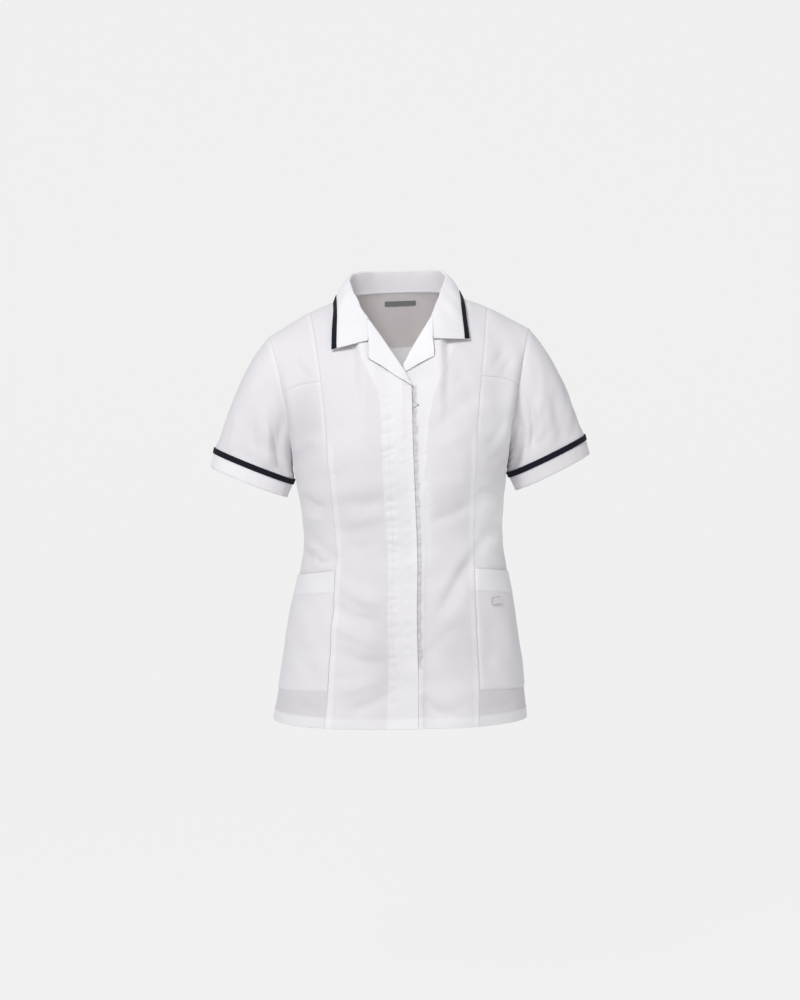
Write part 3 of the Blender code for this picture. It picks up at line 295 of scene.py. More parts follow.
# Creases: three places each runs through, half width above and below it, depth (+ in, - out)
frontCreases = (
    (-0.1040, -0.4080, -0.0780, -0.4450, -0.0250, -0.4570, 0.0140, 0.0090, -0.0042),
    (-0.1150, -0.4500, -0.0800, -0.4800, -0.0220, -0.4790, 0.0100, 0.0150, 0.0046),
    (-0.1160, -0.4880, -0.0769, -0.5090, -0.0330, -0.5230, 0.0110, 0.0085, -0.0032),
    (-0.1060, -0.5260, -0.0700, -0.5480, -0.0240, -0.5470, 0.0100, 0.0120, 0.0042),
    (-0.1110, -0.5960, -0.0663, -0.5877, -0.0260, -0.5700, 0.0120, 0.0090, -0.0030),
    (-0.0960, -0.6330, -0.0500, -0.6150, -0.0180, -0.5950, 0.0100, 0.0110, 0.0040),
    (-0.1120, -0.5700, -0.1010, -0.5760, -0.0900, -0.5730, 0.0070, 0.0070, 0.0012),
    (0.1100, -0.3600, 0.0810, -0.4000, 0.0460, -0.4580, 0.0120, 0.0100, -0.0020),
    (0.1130, -0.3780, 0.0793, -0.4340, 0.0520, -0.4880, 0.0095, 0.0110, 0.0036),
    (0.1160, -0.4180, 0.0900, -0.4620, 0.0600, -0.5150, 0.0100, 0.0130, -0.0018),
    (0.0850, -0.4900, 0.0600, -0.5150, 0.0360, -0.5430, 0.0090, 0.0090, 0.0020),
    (0.0350, -0.5780, 0.0620, -0.6050, 0.1020, -0.6080, 0.0110, 0.0120, -0.0018),
    (0.0290, -0.5990, 0.0500, -0.6270, 0.0960, -0.6360, 0.0090, 0.0090, 0.0040),
    (-0.1640, -0.2780, -0.1420, -0.2960, -0.1240, -0.3010, 0.0070, 0.0080, 0.0022),
    (-0.1650, -0.3080, -0.1450, -0.3200, -0.1280, -0.3160, 0.0070, 0.0080, -0.0015),
    (-0.1631, -0.3699, -0.1560, -0.3850, -0.1470, -0.3810, 0.0042, 0.0042, 0.0027),
    (-0.1460, -0.3780, -0.1340, -0.3930, -0.1210, -0.3830, 0.0044, 0.0044, 0.0028),
    (-0.1560, -0.3640, -0.1470, -0.3700, -0.1360, -0.3690, 0.0045, 0.0045, -0.0020),
    (0.1180, -0.2760, 0.1380, -0.2840, 0.1600, -0.2790, 0.0050, 0.0080, 0.0022),
    (0.1220, -0.3000, 0.1400, -0.3080, 0.1540, -0.3030, 0.0070, 0.0070, -0.0014),
    (0.1240, -0.3400, 0.1380, -0.3560, 0.1540, -0.3640, 0.0060, 0.0060, 0.0018),
    (-0.1100, -0.2835, -0.0640, -0.2940, -0.0230, -0.2849, 0.0110, 0.0130, 0.0015),
    (-0.1060, -0.3270, -0.0680, -0.3220, -0.0260, -0.3040, 0.0130, 0.0100, -0.0014),
    (-0.1040, -0.3620, -0.0700, -0.3660, -0.0300, -0.3480, 0.0110, 0.0110, 0.0018),
    (0.1214, -0.1295, 0.0850, -0.1520, 0.0434, -0.1880, 0.0120, 0.0110, 0.0023),
    (0.1180, -0.1700, 0.0900, -0.1920, 0.0480, -0.2150, 0.0110, 0.0120, -0.0017),
    (0.1080, -0.2980, 0.0720, -0.3190, 0.0380, -0.3250, 0.0100, 0.0090, 0.0023),
    (0.1040, -0.2550, 0.0750, -0.2650, 0.0400, -0.2600, 0.0120, 0.0120, -0.0014),
    (-0.1740, -0.0580, -0.1610, -0.0780, -0.1440, -0.0960, 0.0065, 0.0065, 0.0020),
    (-0.1560, -0.0480, -0.1430, -0.0690, -0.1300, -0.0860, 0.0065, 0.0065, 0.0016),
    (-0.1650, -0.0460, -0.1520, -0.0680, -0.1380, -0.0840, 0.0060, 0.0060, -0.0012),
    (0.1420, -0.0880, 0.1560, -0.0760, 0.1700, -0.0560, 0.0065, 0.0065, 0.0018),
    (0.1587, -0.0980, 0.1700, -0.0850, 0.1810, -0.0700, 0.0060, 0.0060, 0.0016),
    (-0.1720, -0.2280, -0.1540, -0.1960, -0.1290, -0.1990, 0.0080, 0.0080, -0.0020),
    (-0.1700, -0.2050, -0.1500, -0.1780, -0.1280, -0.1760, 0.0080, 0.0080, 0.0016),
    (-0.0700, -0.1560, -0.0450, -0.1760, -0.0240, -0.1960, 0.0090, 0.0090, 0.0018),
    (-0.0980, -0.1950, -0.0650, -0.2150, -0.0300, -0.2350, 0.0120, 0.0120, -0.0015),
    (-0.1090, -0.1450, -0.0900, -0.2100, -0.0980, -0.2650, 0.0130, 0.0130, 0.0014),
    (0.0980, -0.2100, 0.0920, -0.2450, 0.1010, -0.2800, 0.0120, 0.0120, -0.0012),
    (0.1680, -0.1600, 0.1520, -0.1950, 0.1290, -0.2120, 0.0080, 0.0080, 0.0018),
    (0.1640, -0.2150, 0.1500, -0.2300, 0.1320, -0.2360, 0.0070, 0.0080, 0.0014),
    (-0.1520, -0.1250, -0.1420, -0.1500, -0.1500, -0.1750, 0.0090, 0.0090, 0.0013),
    (0.0600, -0.1150, 0.0850, -0.1080, 0.1100, -0.0850, 0.0100, 0.0100, 0.0014),
    (-0.0700, -0.1100, -0.0920, -0.0880, -0.1180, -0.0700, 0.0110, 0.0110, 0.0014),
    (-0.0500, -0.0600, -0.0750, -0.0480, -0.1000, -0.0350, 0.0090, 0.0090, 0.0010),
    (-0.1750, -0.6150, -0.1500, -0.6280, -0.1260, -0.6240, 0.0080, 0.0080, 0.0016),
    (0.1300, -0.6200, 0.1560, -0.6300, 0.1850, -0.6180, 0.0080, 0.0080, 0.0016),
    (-0.1700, -0.5450, -0.1560, -0.5600, -0.1350, -0.5640, 0.0110, 0.0110, 0.0018),
    (-0.1450, -0.4700, -0.1500, -0.5050, -0.1420, -0.5350, 0.0120, 0.0120, -0.0014),
    (0.1300, -0.4900, 0.1400, -0.5300, 0.1320, -0.5700, 0.0110, 0.0110, 0.0016),
    (0.1620, -0.4800, 0.1700, -0.5200, 0.1660, -0.5700, 0.0110, 0.0110, -0.0014),
)
backCreases = (
    (-0.1400, -0.2960, -0.0700, -0.3180, -0.0100, -0.3050, 0.0110, 0.0090, 0.0030),
    (0.1350, -0.2840, 0.0820, -0.3100, 0.0200, -0.3170, 0.0090, 0.0110, 0.0028),
    (-0.1150, -0.3480, -0.0550, -0.3600, 0.0050, -0.3440, 0.0120, 0.0080, -0.0026),
    (0.1200, -0.3660, 0.0700, -0.3820, 0.0150, -0.3700, 0.0110, 0.0080, -0.0024),
    (-0.0950, -0.4150, -0.0600, -0.4700, -0.0500, -0.5300, 0.0140, 0.0130, 0.0026),
    (0.0950, -0.4300, 0.0620, -0.4900, 0.0560, -0.5600, 0.0130, 0.0140, 0.0026),
    (0.0180, -0.4200, 0.0080, -0.5000, 0.0200, -0.5900, 0.0120, 0.0120, -0.0022),
    (-0.1550, -0.1400, -0.1180, -0.1900, -0.0950, -0.2400, 0.0090, 0.0110, 0.0027),
    (0.1550, -0.1350, 0.1220, -0.1850, 0.0900, -0.2300, 0.0100, 0.0090, 0.0027),
    (-0.0300, -0.0900, -0.0350, -0.1450, -0.0500, -0.2000, 0.0110, 0.0120, 0.0016),
    (0.0250, -0.0850, 0.0400, -0.1300, 0.0480, -0.1800, 0.0110, 0.0110, 0.0016),
    (-0.1600, -0.5500, -0.1300, -0.5850, -0.1000, -0.5980, 0.0090, 0.0090, 0.0021),
    (0.1550, -0.5100, 0.1280, -0.5600, 0.0980, -0.5850, 0.0090, 0.0090, 0.0021),
    (-0.1600, -0.2400, -0.1300, -0.2560, -0.1000, -0.2500, 0.0070, 0.0080, 0.0019),
    (0.1600, -0.2550, 0.1350, -0.2680, 0.1080, -0.2620, 0.0070, 0.0070, 0.0019),
    (-0.0400, -0.6200, 0.0000, -0.6100, 0.0450, -0.6220, 0.0090, 0.0090, 0.0014),
)

# Sleeve creases: start, middle and end as turn and way down, half width in metres, depth
rightSleeveCreases = (
    (0.30, 0.25, 0.34, 0.55, 0.36, 0.88, 0.0090, 0.0042),
    (0.27, 0.30, 0.29, 0.55, 0.30, 0.85, 0.0080, -0.0027),
    (0.17, 0.15, 0.19, 0.45, 0.22, 0.80, 0.0120, 0.0027),
    (0.10, 0.55, 0.13, 0.75, 0.14, 0.95, 0.0090, -0.0019),
    (0.23, 0.60, 0.25, 0.80, 0.26, 0.97, 0.0070, 0.0019),
    (0.62, 0.20, 0.64, 0.50, 0.66, 0.85, 0.0100, 0.0038),
    (0.74, 0.25, 0.72, 0.55, 0.73, 0.90, 0.0120, 0.0029),
    (0.84, 0.50, 0.82, 0.70, 0.83, 0.95, 0.0090, -0.0023),
    (0.96, 0.50, 0.97, 0.70, 0.95, 0.95, 0.0090, 0.0017),
)
leftSleeveCreases = (
    (0.27, 0.22, 0.28, 0.48, 0.31, 0.72, 0.0060, 0.0034),
    (0.24, 0.25, 0.25, 0.50, 0.27, 0.75, 0.0080, -0.0025),
    (0.36, 0.20, 0.38, 0.50, 0.40, 0.85, 0.0090, 0.0038),
    (0.15, 0.40, 0.17, 0.65, 0.18, 0.92, 0.0110, 0.0025),
    (0.08, 0.30, 0.10, 0.55, 0.09, 0.85, 0.0120, -0.0017),
    (0.63, 0.25, 0.65, 0.55, 0.64, 0.88, 0.0100, 0.0036),
    (0.77, 0.30, 0.75, 0.60, 0.76, 0.92, 0.0120, 0.0027),
    (0.88, 0.45, 0.86, 0.70, 0.87, 0.95, 0.0090, -0.0021),
)

# Puckers along stitching: the line's x at two heights, span, spacing, reach to either side, depth
puckerLines = (
    (-0.0235, -0.1300, -0.0175, -0.6150, 0.0150, 0.0115, -0.0130, 0.00170),
    (-0.1120, -0.2285, -0.1204, -0.6500, 0.0210, 0.0020, -0.0130, 0.00045),
    (0.1130, -0.2285, 0.1210, -0.6500, 0.0230, 0.0130, -0.0020, 0.00045),
    (0.0335, -0.1500, 0.0330, -0.5570, 0.0170, 0.0030, -0.0090, 0.00055),
    (0.0000, -0.1600, 0.0060, -0.5400, 0.0200, 0.0090, -0.0090, -0.00090),
    (-0.1330, -0.1050, -0.1130, -0.2200, 0.0200, 0.0080, -0.0060, 0.00035),
    (0.1360, -0.0950, 0.1140, -0.2200, 0.0210, 0.0060, -0.0080, 0.00035),
)
puckerLook = {
    "seed": 5, "reach": (0.6, 1.1), "slant": (-0.5, 0.35), "waver": (-0.001, 0.001),
    "above": 0.0042, "below": 0.0036, "depth": (0.5, 1.2), "step": (0.6, 1.5),
}
creaseLook = {"parts": 8, "taper": 0.3, "start": 0.08}
undulation = {"height": 0.00045, "waves": 9, "seed": 11, "longest": 0.085, "shortest": 0.034}
grooveDepth, grooveWidth = 0.00028, 0.0011

# Shares over which creases, or the large folds, die away towards the side seams and the top
creaseCalmSide, creaseCalmTop, foldCalm = 0.07, 0.10, 0.25


# One named column of a table, as an array
def column(table, names, name):
    return np.array([row[names.index(name)] for row in table])


# From start to end as t goes from 0 to 1, with a pull at either end
def hermite(t, start, end, leave, arrive):
    rise = t * t * (3 - 2 * t)
    return start * (1 - rise) + end * rise + leave * t * (1 - t) ** 2 + arrive * t * t * (t - 1)


# A smooth curve through a table's values, read at any places
def through(at, keys, values):
    at = np.clip(np.asarray(at, float), keys[0], keys[-1])
    slopes = np.gradient(values, keys)
    i = np.clip(np.searchsorted(keys, at, side="right") - 1, 0, len(keys) - 2)
    run = keys[i + 1] - keys[i]
    return hermite((at - keys[i]) / run, values[i], values[i + 1], run * slopes[i], run * slopes[i + 1])


# 0 below 0, 1 above 1, and smooth in between
def ease(t):
    t = np.clip(t, 0, 1)
    return t * t * (3 - 2 * t)


# How far a place lies from the princess seam (0) to the side seam (1)
def sideShare(across):
    return np.clip((np.abs(across) - seamAcross) / (1 - seamAcross), 0, 1)


def ring(name, z):
    return through(z, column(bodyRings, ringColumns, "z"), column(bodyRings, ringColumns, name))


# A point of the body below the underarm. face is -1 for the front and 1 for the back.
def ringPoint(across, z, face):
    side = "front" if face < 0 else "back"
    half = ring("halfWidth", z)
    depth, power, seam = ring(side + "Depth", z), ring(side + "Power", z), ring(side + "SeamX", z)
    # Straight shares of x up to the princess seam, then equal turns round to the side seam
    atSeam = np.arcsin((seam / half) ** (power / 2))
    turn = atSeam + (math.pi / 2 - atSeam) * sideShare(across)
    x = np.where(across < seamAcross, seam * across / seamAcross, half * np.sin(turn) ** (2 / power))
    y = face * depth * np.clip(1 - (x / half) ** power, 0, 1) ** (1 / power)
    return np.stack([x, y, np.broadcast_to(z, x.shape)], -1)


# Read from the form's upper ends; the neckline and the shoulder meet there at a corner
def topVector(across, face, names):
    table = frontTop if face < 0 else backTop
    keys = column(table, topColumns, "across")
    corner = int(np.argmin(np.abs(keys - neckAcross)))
    found = []
    for name in names:
        values = column(table, topColumns, name)
        neck = through(across, keys[: corner + 1], values[: corner + 1])
        shoulder = through(across, keys[corner:], values[corner:])
        found.append(np.where(across <= neckAcross, neck, shoulder))
    return np.stack(found, -1)


# A point above the underarm: rise is 0 on the underarm ring and 1 at the neck or shoulder
def chestPoint(across, rise, face):
    below, step = ringPoint(across, underarmZ, face), 0.004
    slope = (below - ringPoint(across, underarmZ - step, face)) / step
    end = topVector(across, face, ("x", "y", "z"))
    arrive = topVector(across, face, ("pullX", "pullY", "pullZ"))
    reach = np.linalg.norm(end - below, axis=-1, keepdims=True)
    turned = ease((across - armholeTurnFrom) / (1 - armholeTurnFrom))[..., None]
    leave = slope * reach * chestPull * (1 - turned) + np.array(armholePull) * (1, face, 1) * turned
    return hermite(rise[..., None], below, end, leave, arrive)


# How far the folds move the cloth in at a place seen from the front
def foldDepth(x, z, folds):
    moved = np.zeros(np.shape(x))
    for x0, z0, x1, z1, halfWidth, depth in folds:
        runX, runZ = x1 - x0, z1 - z0
        length = runX**2 + runZ**2
        near = np.clip(((x - x0) * runX + (z - z0) * runZ) / length, 0, 1)
        off = np.hypot(x - x0 - near * runX, z - z0 - near * runZ)
        moved += depth * np.exp(-((off / halfWidth) ** 2))
    return moved


# The body form without its folds. across may be negative, which is the wearer's right.
def smoothBody(across, up, face):
    across, up = np.broadcast_arrays(np.asarray(across, float), np.asarray(up, float))
    far = np.abs(across)
    z = hemZ + np.clip(up, 0, 1) * bodyHeight
    low, high = ringPoint(far, z, face), chestPoint(far, np.clip(up - 1, 0, 1), face)
    found = np.where((up > 1)[..., None], high, low)
    found[..., 0] *= np.where(across < 0, -1, 1)
    return found


def unit(vectors):
    return vectors / np.maximum(np.linalg.norm(vectors, axis=-1, keepdims=True), 1e-12)


def smoothNormal(across, up, face):
    step = 0.002
    a0, a1 = np.clip(across - step, -1, 1), np.clip(across + step, -1, 1)
    u0, u1 = np.clip(up - step, 0, 2), np.clip(up + step, 0, 2)
    over = smoothBody(a1, up, face) - smoothBody(a0, up, face)
    rise = smoothBody(across, u1, face) - smoothBody(across, u0, face)
    return unit(np.cross(over, rise) * -face)


# Rows of small creases where stitching has drawn the cloth up, unevenly spaced
def puckerRows():
    look, rng = puckerLook, np.random.default_rng(puckerLook["seed"])
    rows = []
    for x0, z0, x1, z1, spacing, before, after, depth in puckerLines:
        z = z0
        while z > z1:
            x = x0 + (x1 - x0) * (z - z0) / (z1 - z0)
            reach, slant = rng.uniform(*look["reach"]), rng.uniform(*look["slant"])
            start, end = x - before * reach, x - after * reach
            middleZ = z + rng.uniform(*look["waver"])
            rows.append((start, z + slant * before, (start + end) / 2, middleZ, end, z + slant * after,
                         look["above"], look["below"], depth * rng.uniform(*look["depth"])))
            z -= spacing * rng.uniform(*look["step"])
    return tuple(rows)


puckers = puckerRows()


# How far creases move the cloth in; each is a curve through its three places
def creaseDepth(x, z, creases):
    moved = np.zeros(np.shape(x))
    parts, start = creaseLook["parts"], creaseLook["start"]
    t = np.linspace(0, 1, parts + 1)
    for x0, z0, x1, z1, x2, z2, above, below, depth in creases:
        reach = 3 * max(above, below)
        low, high = min(z0, z1, z2) - reach, max(z0, z1, z2) + reach
        left, right = min(x0, x1, x2) - reach, max(x0, x1, x2) + reach
        near = (z > low) & (z < high) & (x > left) & (x < right)
        if not near.any():
            continue
        px, pz = x[near], z[near]
        bendX, bendZ = 2 * x1 - (x0 + x2) / 2, 2 * z1 - (z0 + z2) / 2
        cx = (1 - t) ** 2 * x0 + 2 * t * (1 - t) * bendX + t * t * x2
        cz = (1 - t) ** 2 * z0 + 2 * t * (1 - t) * bendZ + t * t * z2
        best, along, side = np.full(px.shape, np.inf), np.zeros(px.shape), np.ones(px.shape)
        for k in range(parts):
            runX, runZ = cx[k + 1] - cx[k], cz[k + 1] - cz[k]
            share = np.clip(((px - cx[k]) * runX + (pz - cz[k]) * runZ) / (runX**2 + runZ**2), 0, 1)
            offX, offZ = px - cx[k] - share * runX, pz - cz[k] - share * runZ
            off = np.hypot(offX, offZ)
            closer = off < best
            best, along = np.where(closer, off, best), np.where(closer, (k + share) / parts, along)
            side = np.where(closer, np.sign(runX * offZ - runZ * offX) * (1 if x2 > x0 else -1), side)
        width = np.where(side > 0, above, below)
        taper = ease(along / creaseLook["taper"] + start) * ease((1 - along) / creaseLook["taper"] + start)
        moved[near] += depth * np.exp(-((best / width) ** 2)) * taper
    return moved


# Slow unevenness all over, the same for each layer that lies there
def unevenness(x, z, seed):
    rng = np.random.default_rng(undulation["seed"] + seed)
    total = np.zeros(np.shape(x))
    for _ in range(undulation["waves"]):
        length, angle = rng.uniform(undulation["shortest"], undulation["longest"]), rng.uniform(0, math.pi)
        phase = rng.uniform(0, 2 * math.pi)
        total += np.sin(2 * math.pi * (x * math.cos(angle) + z * math.sin(angle)) / length + phase)
    return total * undulation["height"] / math.sqrt(undulation["waves"] / 2)


# How near a place of the body is to a seam, 0 to 1
def seamNearness(across, up, face):
    far = np.abs(across)
    z = smoothBody(across, up, face)[..., 2]
    offs = [(far - seamAcross) * seamSpan, (1 - far) * sideSpan, (2 - up) * topSpan]
    if face > 0:
        offs[0] = np.where(z < yokeZ, offs[0], 1.0)
        offs.append(z - yokeZ)
    else:
        offs.append(np.where(far >= seamAcross, z - chestSeamZ(across), 1.0))
        offs[2] = np.where(far > neckAcross, offs[2], 1.0)
    return np.max([np.exp(-((off / grooveWidth) ** 2)) for off in offs], axis=0)


# The small forms that the solids leave out: creases, puckers, unevenness and the seams' grooves
def fineDepth(at, across, up, face):
    x, z = at[..., 0], at[..., 2]
    moved = creaseDepth(x, z, frontCreases + puckers if face < 0 else backCreases)
    moved += unevenness(x, z, 0 if face < 0 else 1)
    moved *= ease((1 - np.abs(across)) / creaseCalmSide) * ease((2 - up) / creaseCalmTop)
    return moved + grooveDepth * seamNearness(across, up, face)


# The stitching beside the lap runs down and then round to its edge: x and z
flyStitch = (
    (-0.0241, -0.1394), (-0.0225, -0.1770), (-0.0200, -0.3500), (-0.0183, -0.5282), (-0.0165, -0.5480),
    (-0.0125, -0.5630), (-0.0070, -0.5735), (0.0000, -0.5785), (0.0090, -0.5800), (0.0185, -0.5790),
)

# How the lap's edge stands off, how the under front comes up to it, and the beads that both have
lapLook = {
    "height": 0.0009, "reach": 0.0080, "beads": 0.0003,
    "lowZ": -0.575, "lowRun": 0.02, "lowShare": 0.25, "topRun": 0.03, "closeTopRun": 0.02,
    "close": 0.0033, "closeFrom": 0.0020, "closeReach": 0.0085, "closeBeads": 0.12, "zipEnd": 0.017,
}
lapBeads = (640, 1.7, 171)
zipBeads = (560, 2.1, 143)


# Beads down the front: radians to a metre, and how far and how fast they drift from even
def beadsAt(z, beads):
    turn, drift, driftTurn = beads
    return np.sin(z * turn + drift * np.sin(z * driftTurn))


# How far the lap's edge stands off what it covers
def lapRise(flat):
    x, z = flat[..., 0], flat[..., 2]
    off = (edgeX(z) - x) / lapLook["reach"]
    height = lapLook["height"] + beadsAt(z, lapBeads) * lapLook["beads"]
    least = lapLook["lowShare"]
    low = ease((z - lapLook["lowZ"]) / lapLook["lowRun"]) * (1 - least) + least
    return height * np.exp(-(off**2)) * ease((breakZ - z) / lapLook["topRun"]) * low


# Beside the lap the under front comes up against it, save where the zip's end lies between them
def lapClose(flat):
    x, z = flat[..., 0], flat[..., 2]
    off = (x - edgeX(z) - lapLook["closeFrom"]) / lapLook["closeReach"]
    beads = 1 - lapLook["closeBeads"] * beadsAt(z, zipBeads)
    clear = 1 - np.exp(-(((z - zipEarZ) / lapLook["zipEnd"]) ** 2))
    along = ease((breakZ - z) / lapLook["closeTopRun"]) * clear
    return lapLook["close"] * beads * np.exp(-(off**2)) * along


# Points on the folded body form, moved out along its normals
def body(across, up, face, out=0.0):
    across, up = np.broadcast_arrays(np.asarray(across, float), np.asarray(up, float))
    at, normal = smoothBody(across, up, face), smoothNormal(across, up, face)
    folds = frontFolds if face < 0 else backFolds
    # No fold reaches the side seams, where front and back have to meet
    calm = ease((1 - np.abs(across)) / foldCalm)
    moved = np.asarray(out) - calm * foldDepth(at[..., 0], at[..., 2], folds)
    moved = moved - fineDepth(at, across, up, face)
    return at + normal * moved[..., None]


# As far as a place may lie from the middle and from the hem, as shares
placeLimit = {"guess": 0.98, "across": 0.999, "up": 1.9998}


# The form's own coordinates of a place seen from the front or back, neared step by step
def place(x, z, face):
    x, z = np.broadcast_arrays(np.asarray(x, float), np.asarray(z, float))
    guess, far = placeLimit["guess"], placeLimit["across"]
    across = np.clip(x / roughHalf, -guess, guess)
    up = np.where(z < underarmZ, (z - hemZ) / bodyHeight, 1 + (z - underarmZ) / chestHeight)
    step, most = 1e-4, 0.1
    for _ in range(30):
        here = smoothBody(across, up, face)
        byAcross = (smoothBody(across + step, up, face) - here) / step
        byUp = (smoothBody(across, up + step, face) - here) / step
        missX, missZ = x - here[..., 0], z - here[..., 2]
        det = byAcross[..., 0] * byUp[..., 2] - byAcross[..., 2] * byUp[..., 0]
        det = np.where(np.abs(det) < 1e-9, 1e-9, det)
        across = across + np.clip((missX * byUp[..., 2] - missZ * byUp[..., 0]) / det, -most, most)
        up = up + np.clip((missZ * byAcross[..., 0] - missX * byAcross[..., 2]) / det, -most, most)
        across, up = np.clip(across, -far, far), np.clip(up, 0, placeLimit["up"])
    return across, up


# How far up a column reaches a height
def upAt(across, z, face):
    low, high = np.zeros(np.shape(across)), np.full(np.shape(across), 2.0)
    for _ in range(40):
        middle = (low + high) / 2
        under = smoothBody(across, middle, face)[..., 2] < z
        low, high = np.where(under, middle, low), np.where(under, high, middle)
    return (low + high) / 2


# The pose's tilt and sway, as a shear that changes with height
def lean(points):
    keys, z = column(pose, poseColumns, "z"), points[..., 2]
    points = points.copy()
    points[..., 2] += points[..., 0] * through(z, keys, column(pose, poseColumns, "tilt"))
    points[..., 0] += through(z, keys, column(pose, poseColumns, "shift"))
    return points


# Whether the grid's own winding turns the outer side inwards
def outerFacesIn(outer, inner):
    r, c = (n // 2 for n in outer.shape[:2])
    r, c = min(r, outer.shape[0] - 2), min(c, outer.shape[1] - 2)
    over, rise = outer[r, c + 1] - outer[r, c], outer[r + 1, c] - outer[r, c]
    return np.dot(np.cross(over, rise), outer[r, c] - inner[r, c]) < 0


# Normals of a free grid from its neighbouring points
def gridNormals(grid, roundIt=False):
    if roundIt:
        over = np.roll(grid, -1, axis=1) - np.roll(grid, 1, axis=1)
    else:
        over = np.gradient(grid, axis=1)
    return unit(np.cross(over, np.gradient(grid, axis=0)))


# The height of the seam across a side front
def chestSeamZ(across):
    return chestSeam["princessZ"] + (chestSeam["armholeZ"] - chestSeam["princessZ"]) * sideShare(across)**1.4


def chestSeamUp(across):
    return upAt(across, chestSeamZ(across), -1)


# The front edge of the lap, which runs slightly outwards to the hem and bows in on the way
def edgeX(z):
    share = np.clip((z - hemZ) / (breakZ - hemZ), 0, 1)
    return edgeHemX + (breakX - edgeHemX) * share - lapBow * np.sin(math.pi * share) * (1 - share)


# The roll line's height below the foot of the V, on the lapped side
def rollZ(x):
    footZ = frontTop[0][3]
    return footZ + (breakZ - footZ) * x / breakX


# How far in the left front lies, so that the right front and the zip fit over it
def lapDepth(points):
    side = 1 - ease((points[..., 0] - lapFlatX) / (lapEndX - lapFlatX))
    down = ease((lapTopZ - points[..., 2]) / (lapTopZ - lapFullZ))
    return lapSink * side * down


# The armhole from the shoulder down the front, under the arm and up the back: the seam's points,
# the ways off the body's edge there and the turns
def armholeRings():
    one, inward = np.array(1.0), 0.004
    rings = []
    for face, count in armholePoints:
        ups = np.linspace(1, 2, count)
        points = body(one, ups, face)
        rings.append((points, unit(points - body(one - inward, ups, face))))
    front, back = rings
    points, off = (np.concatenate([f[::-1], b[1:-1]]) for f, b in zip(front, back))
    steps = np.linalg.norm(np.roll(points, -1, axis=0) - points, axis=1)
    half, whole = np.sum(steps[:len(front[0]) - 1]), np.sum(steps)
    along = np.concatenate([[0], np.cumsum(steps)[:-1]])
    turn = np.where(along <= half, along / half * 0.5, 0.5 + (along - half) / (whole - half) * 0.5)
    return points, off, turn


# The cuff's middle, and its directions down the sleeve, outwards and forwards
def cuffFrame():
    tilt = math.radians(cuff["tiltDeg"])
    down = np.array([math.sin(tilt), 0, -math.cos(tilt)])
    out = np.array([math.cos(tilt), 0, math.sin(tilt)])
    return np.array([cuff["x"], 0, cuff["z"]]), down, out, np.array([0, -1.0, 0])


# The ring of the cuff, a distance above its hem; its outer side leans in a little to the hem
def cuffRing(turn, above):
    middle, down, out, front = cuffFrame()
    angle = turn * 2 * math.pi
    leanIn = cuff["hemIn"] / 2 * (1 - above / cuffBand)
    halfWidth = cuff["halfWidth"] - leanIn
    flat = np.cos(angle)[:, None] * out * halfWidth + np.sin(angle)[:, None] * front * cuff["halfDepth"]
    return middle - down * above - out * leanIn + flat


# The sleeve's outer and inner rings from the armhole to the cuff seam, and the turns they go by
def sleeveGrid(downs, folds, creases):
    edge, off, turn = armholeRings()
    keys = column(sleeveLeave, sleeveLeaveColumns, "turn")
    *way, reach = (through(turn, keys, column(sleeveLeave, sleeveLeaveColumns, name))
                   for name in sleeveLeaveColumns[1:])
    leave = unit(np.stack(way, -1))
    end = cuffRing(turn, cuffBand + halfGap)
    arrive = cuffFrame()[1] * np.linalg.norm(end - edge, axis=1, keepdims=True) * sleeveArrive
    grid = hermite(downs[:, None, None], edge, end, leave * reach[:, None], arrive)
    moved = np.zeros(grid.shape[:2])
    for turn0, down0, turn1, down1, halfTurn, depth in folds:
        along = (downs - down0) / (down1 - down0)
        middle = turn0 + (turn1 - turn0) * np.clip(along, 0, 1)
        over, run = sleeveLook["foldOver"], sleeveLook["foldFade"]
        fade = ease((along + over) / run) * ease((1 + over - along) / run)
        moved += depth * fade[:, None] * np.exp(-(((turn[None] - middle[:, None]) / halfTurn) ** 2))
    # Small creases, measured along a sleeve rolled out flat
    flatX, flatZ = np.meshgrid(turn * sleeveRound, -downs * sleeveLong)
    toFlat = np.array([sleeveRound, -sleeveLong] * 3)
    rows = np.array(creases)
    moved += creaseDepth(flatX, flatZ, [(*(row[:6] * toFlat), row[6], row[6], row[7]) for row in rows])
    # The unevenness runs on round the join of the ring
    circle = 2 * math.pi * turn[None]
    roundX, roundY = np.cos(circle) * cuff["halfWidth"], np.sin(circle) * cuff["halfWidth"]
    moved += unevenness(roundX + 0 * flatZ, roundY + flatZ, 2 + len(creases))
    normals = sleeveNormals(grid)
    calm = ease(downs / sleeveCalm) * ease((1 - downs) / sleeveCalm)
    outer = grid - normals * (moved * calm[:, None])[..., None]
    inner = outer - normals * sleeveLook["thick"]
    # At the seam the inner side starts clear of the body's edge
    short = gap - np.sum((inner[0] - edge) * off, axis=1)
    slope, least = np.sum(leave * off, axis=1), sleeveLook["leastSlope"]
    slide = np.clip(short / np.maximum(slope, least), 0, sleeveLook["mostSlide"])
    inner[0] += leave * np.where(slope > least, slide, 0)[:, None]
    return outer, inner, turn


# Normals that point out of the sleeve
def sleeveNormals(grid):
    normals = gridNormals(grid, roundIt=True)
    middle = grid.mean(axis=1, keepdims=True)
    flip = np.sign(np.sum(normals * (grid - middle)))
    return normals * flip


def mirrored(grid, sign):
    return grid * (sign, 1, 1)


